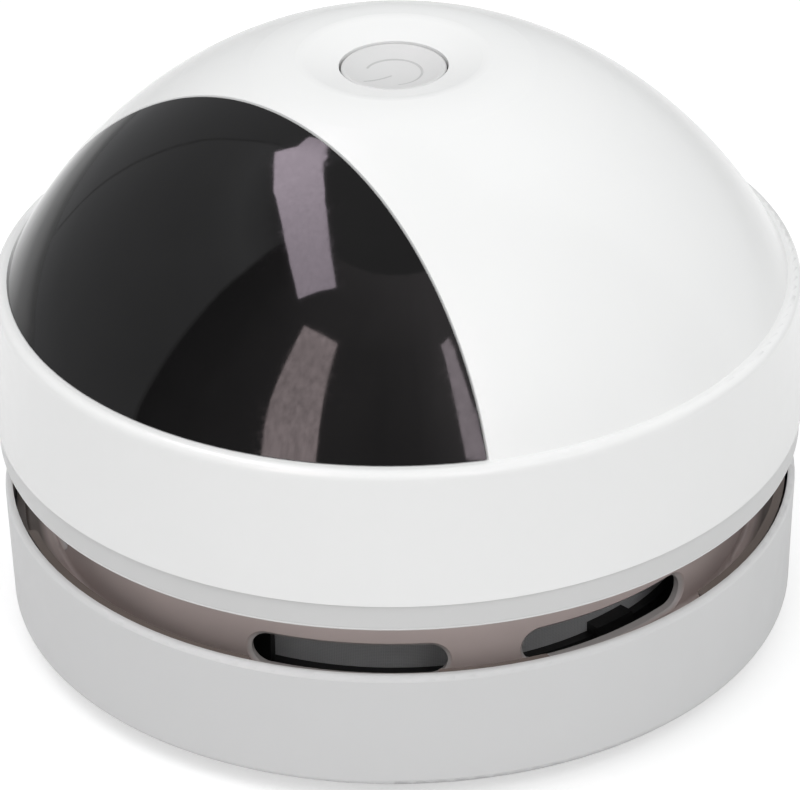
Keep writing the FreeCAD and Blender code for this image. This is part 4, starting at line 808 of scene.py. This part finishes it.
def make_studio():
    """World, floor and lamps, then the boxes and walls that the gloss shows."""
    make_world()
    make_floor()
    make_lamp("key", 5.2, 84, 48)
    make_lamp("side", 1.4, 15, 37)
    make_lamp("front", 2.1, 58, 13)
    make_lamp("top", 5.2, -45, 62)
    warm = (1.0, 0.93, 0.95)
    cool = (0.97, 0.98, 1.0)
    box_left = [
        ((7.4, 52.1), (22.7, 50.9), 5.4),
        ((7.1, 47.5), (22.7, 48.0), 4.6),
        ((6.8, 40.6), (22.8, 44.6), 4.3),
        ((6.8, 33.8), (22.9, 38.0), 4.3),
        ((7.7, 27.5), (23.5, 31.0), 4.7),
        ((9.5, 20.0), (24.2, 22.0), 4.9),
    ]
    box_top = [
        ((-94.7, 60.5), (-97.0, 66.0), 5.0),
        ((-88.3, 60.3), (-91.7, 66.5), 6.5),
        ((-83.3, 56.2), (-87.4, 69.1), 7.3),
        ((-61.5, 60.9), (-82.6, 69.3), 7.4),
        ((-39.8, 63.1), (-39.7, 73.5), 6.6),
        ((-20.6, 61.6), (-4.8, 69.5), 5.9),
        ((-1.4, 56.5), (12.4, 63.2), 5.4),
    ]
    box_right = [((64.4, 51.2), (68.3, 52.4), 4.4), ((65.7, 25.6), (71.1, 23.9), 4.4)]
    soft_box("box_left", box_left, (1.0, 0.825, 0.84), 0.4, 34)
    soft_box("box_top", box_top, (1.0, 0.853, 0.985), 0.22, 60)
    soft_box("box_right", box_right, (1.0, 0.863, 0.94), 0.2, 30)
    # A dark seam between two walls, by elevation, that shows as a fine line across the visor
    elevations = (-9, 2, 7, 16, 26, 38, 45, 53, 58, 62, 72)
    seam = (-92.4, -92.4, -92.6, -91.8, -90.6, -89.6, -88.6, -87.9, -87.4, -87.1, -86.5)
    glows = (0.4, 0.37, 0.34, 0.335, 0.33, 0.34, 0.37, 0.47, 0.38, 0.25, 0.25)
    far_glows = (0.4, 0.37, 0.34, 0.335, *[0.33] * 7)
    rises = (0, 0, 0.1, 0.2, 0.35, 0.4, 0.4, 0.4, 0.4)
    half = 0.35
    tent_wall(
        "wall_left",
        [(-30.5, -32, -45, -60, -75, place + half) for place in seam],
        elevations,
        [[glow] * 6 for glow in glows],
        cool,
    )
    tent_wall(
        "wall_far_left",
        [(place - half, *range(-105, -211, -15)) for place in seam],
        elevations,
        [[glow + rise for rise in rises] for glow in far_glows],
        cool,
    )
    front_low = [0.0, 0.05, 0.12, 0.16, 0.16, 0.14, 0.2, 0.4, 0.45]
    tent_wall(
        "wall_front",
        [(-29.5, -15, 0, 15, 30, 42, 54, 64, 76)] * 5,
        (-2, 25, 50, 60, 69),
        [
            front_low,
            front_low,
            [0.01, 0.06, 0.15, 0.2, 0.17, 0.18, 0.28, 0.5, 0.5],
            [0.02, 0.08, 0.2, 0.24, 0.26, 0.34, 0.4, 0.5, 0.5],
            [0.03, 0.12, 0.3, 0.36, 0.38, 0.42, 0.45, 0.5, 0.5],
        ],
        warm,
    )


make_camera()
make_materials()
make_power_mark()
make_lip_bead()
make_commutator()
make_bristles()
make_studio()
bpy.context.scene.view_settings.view_transform = "Standard"
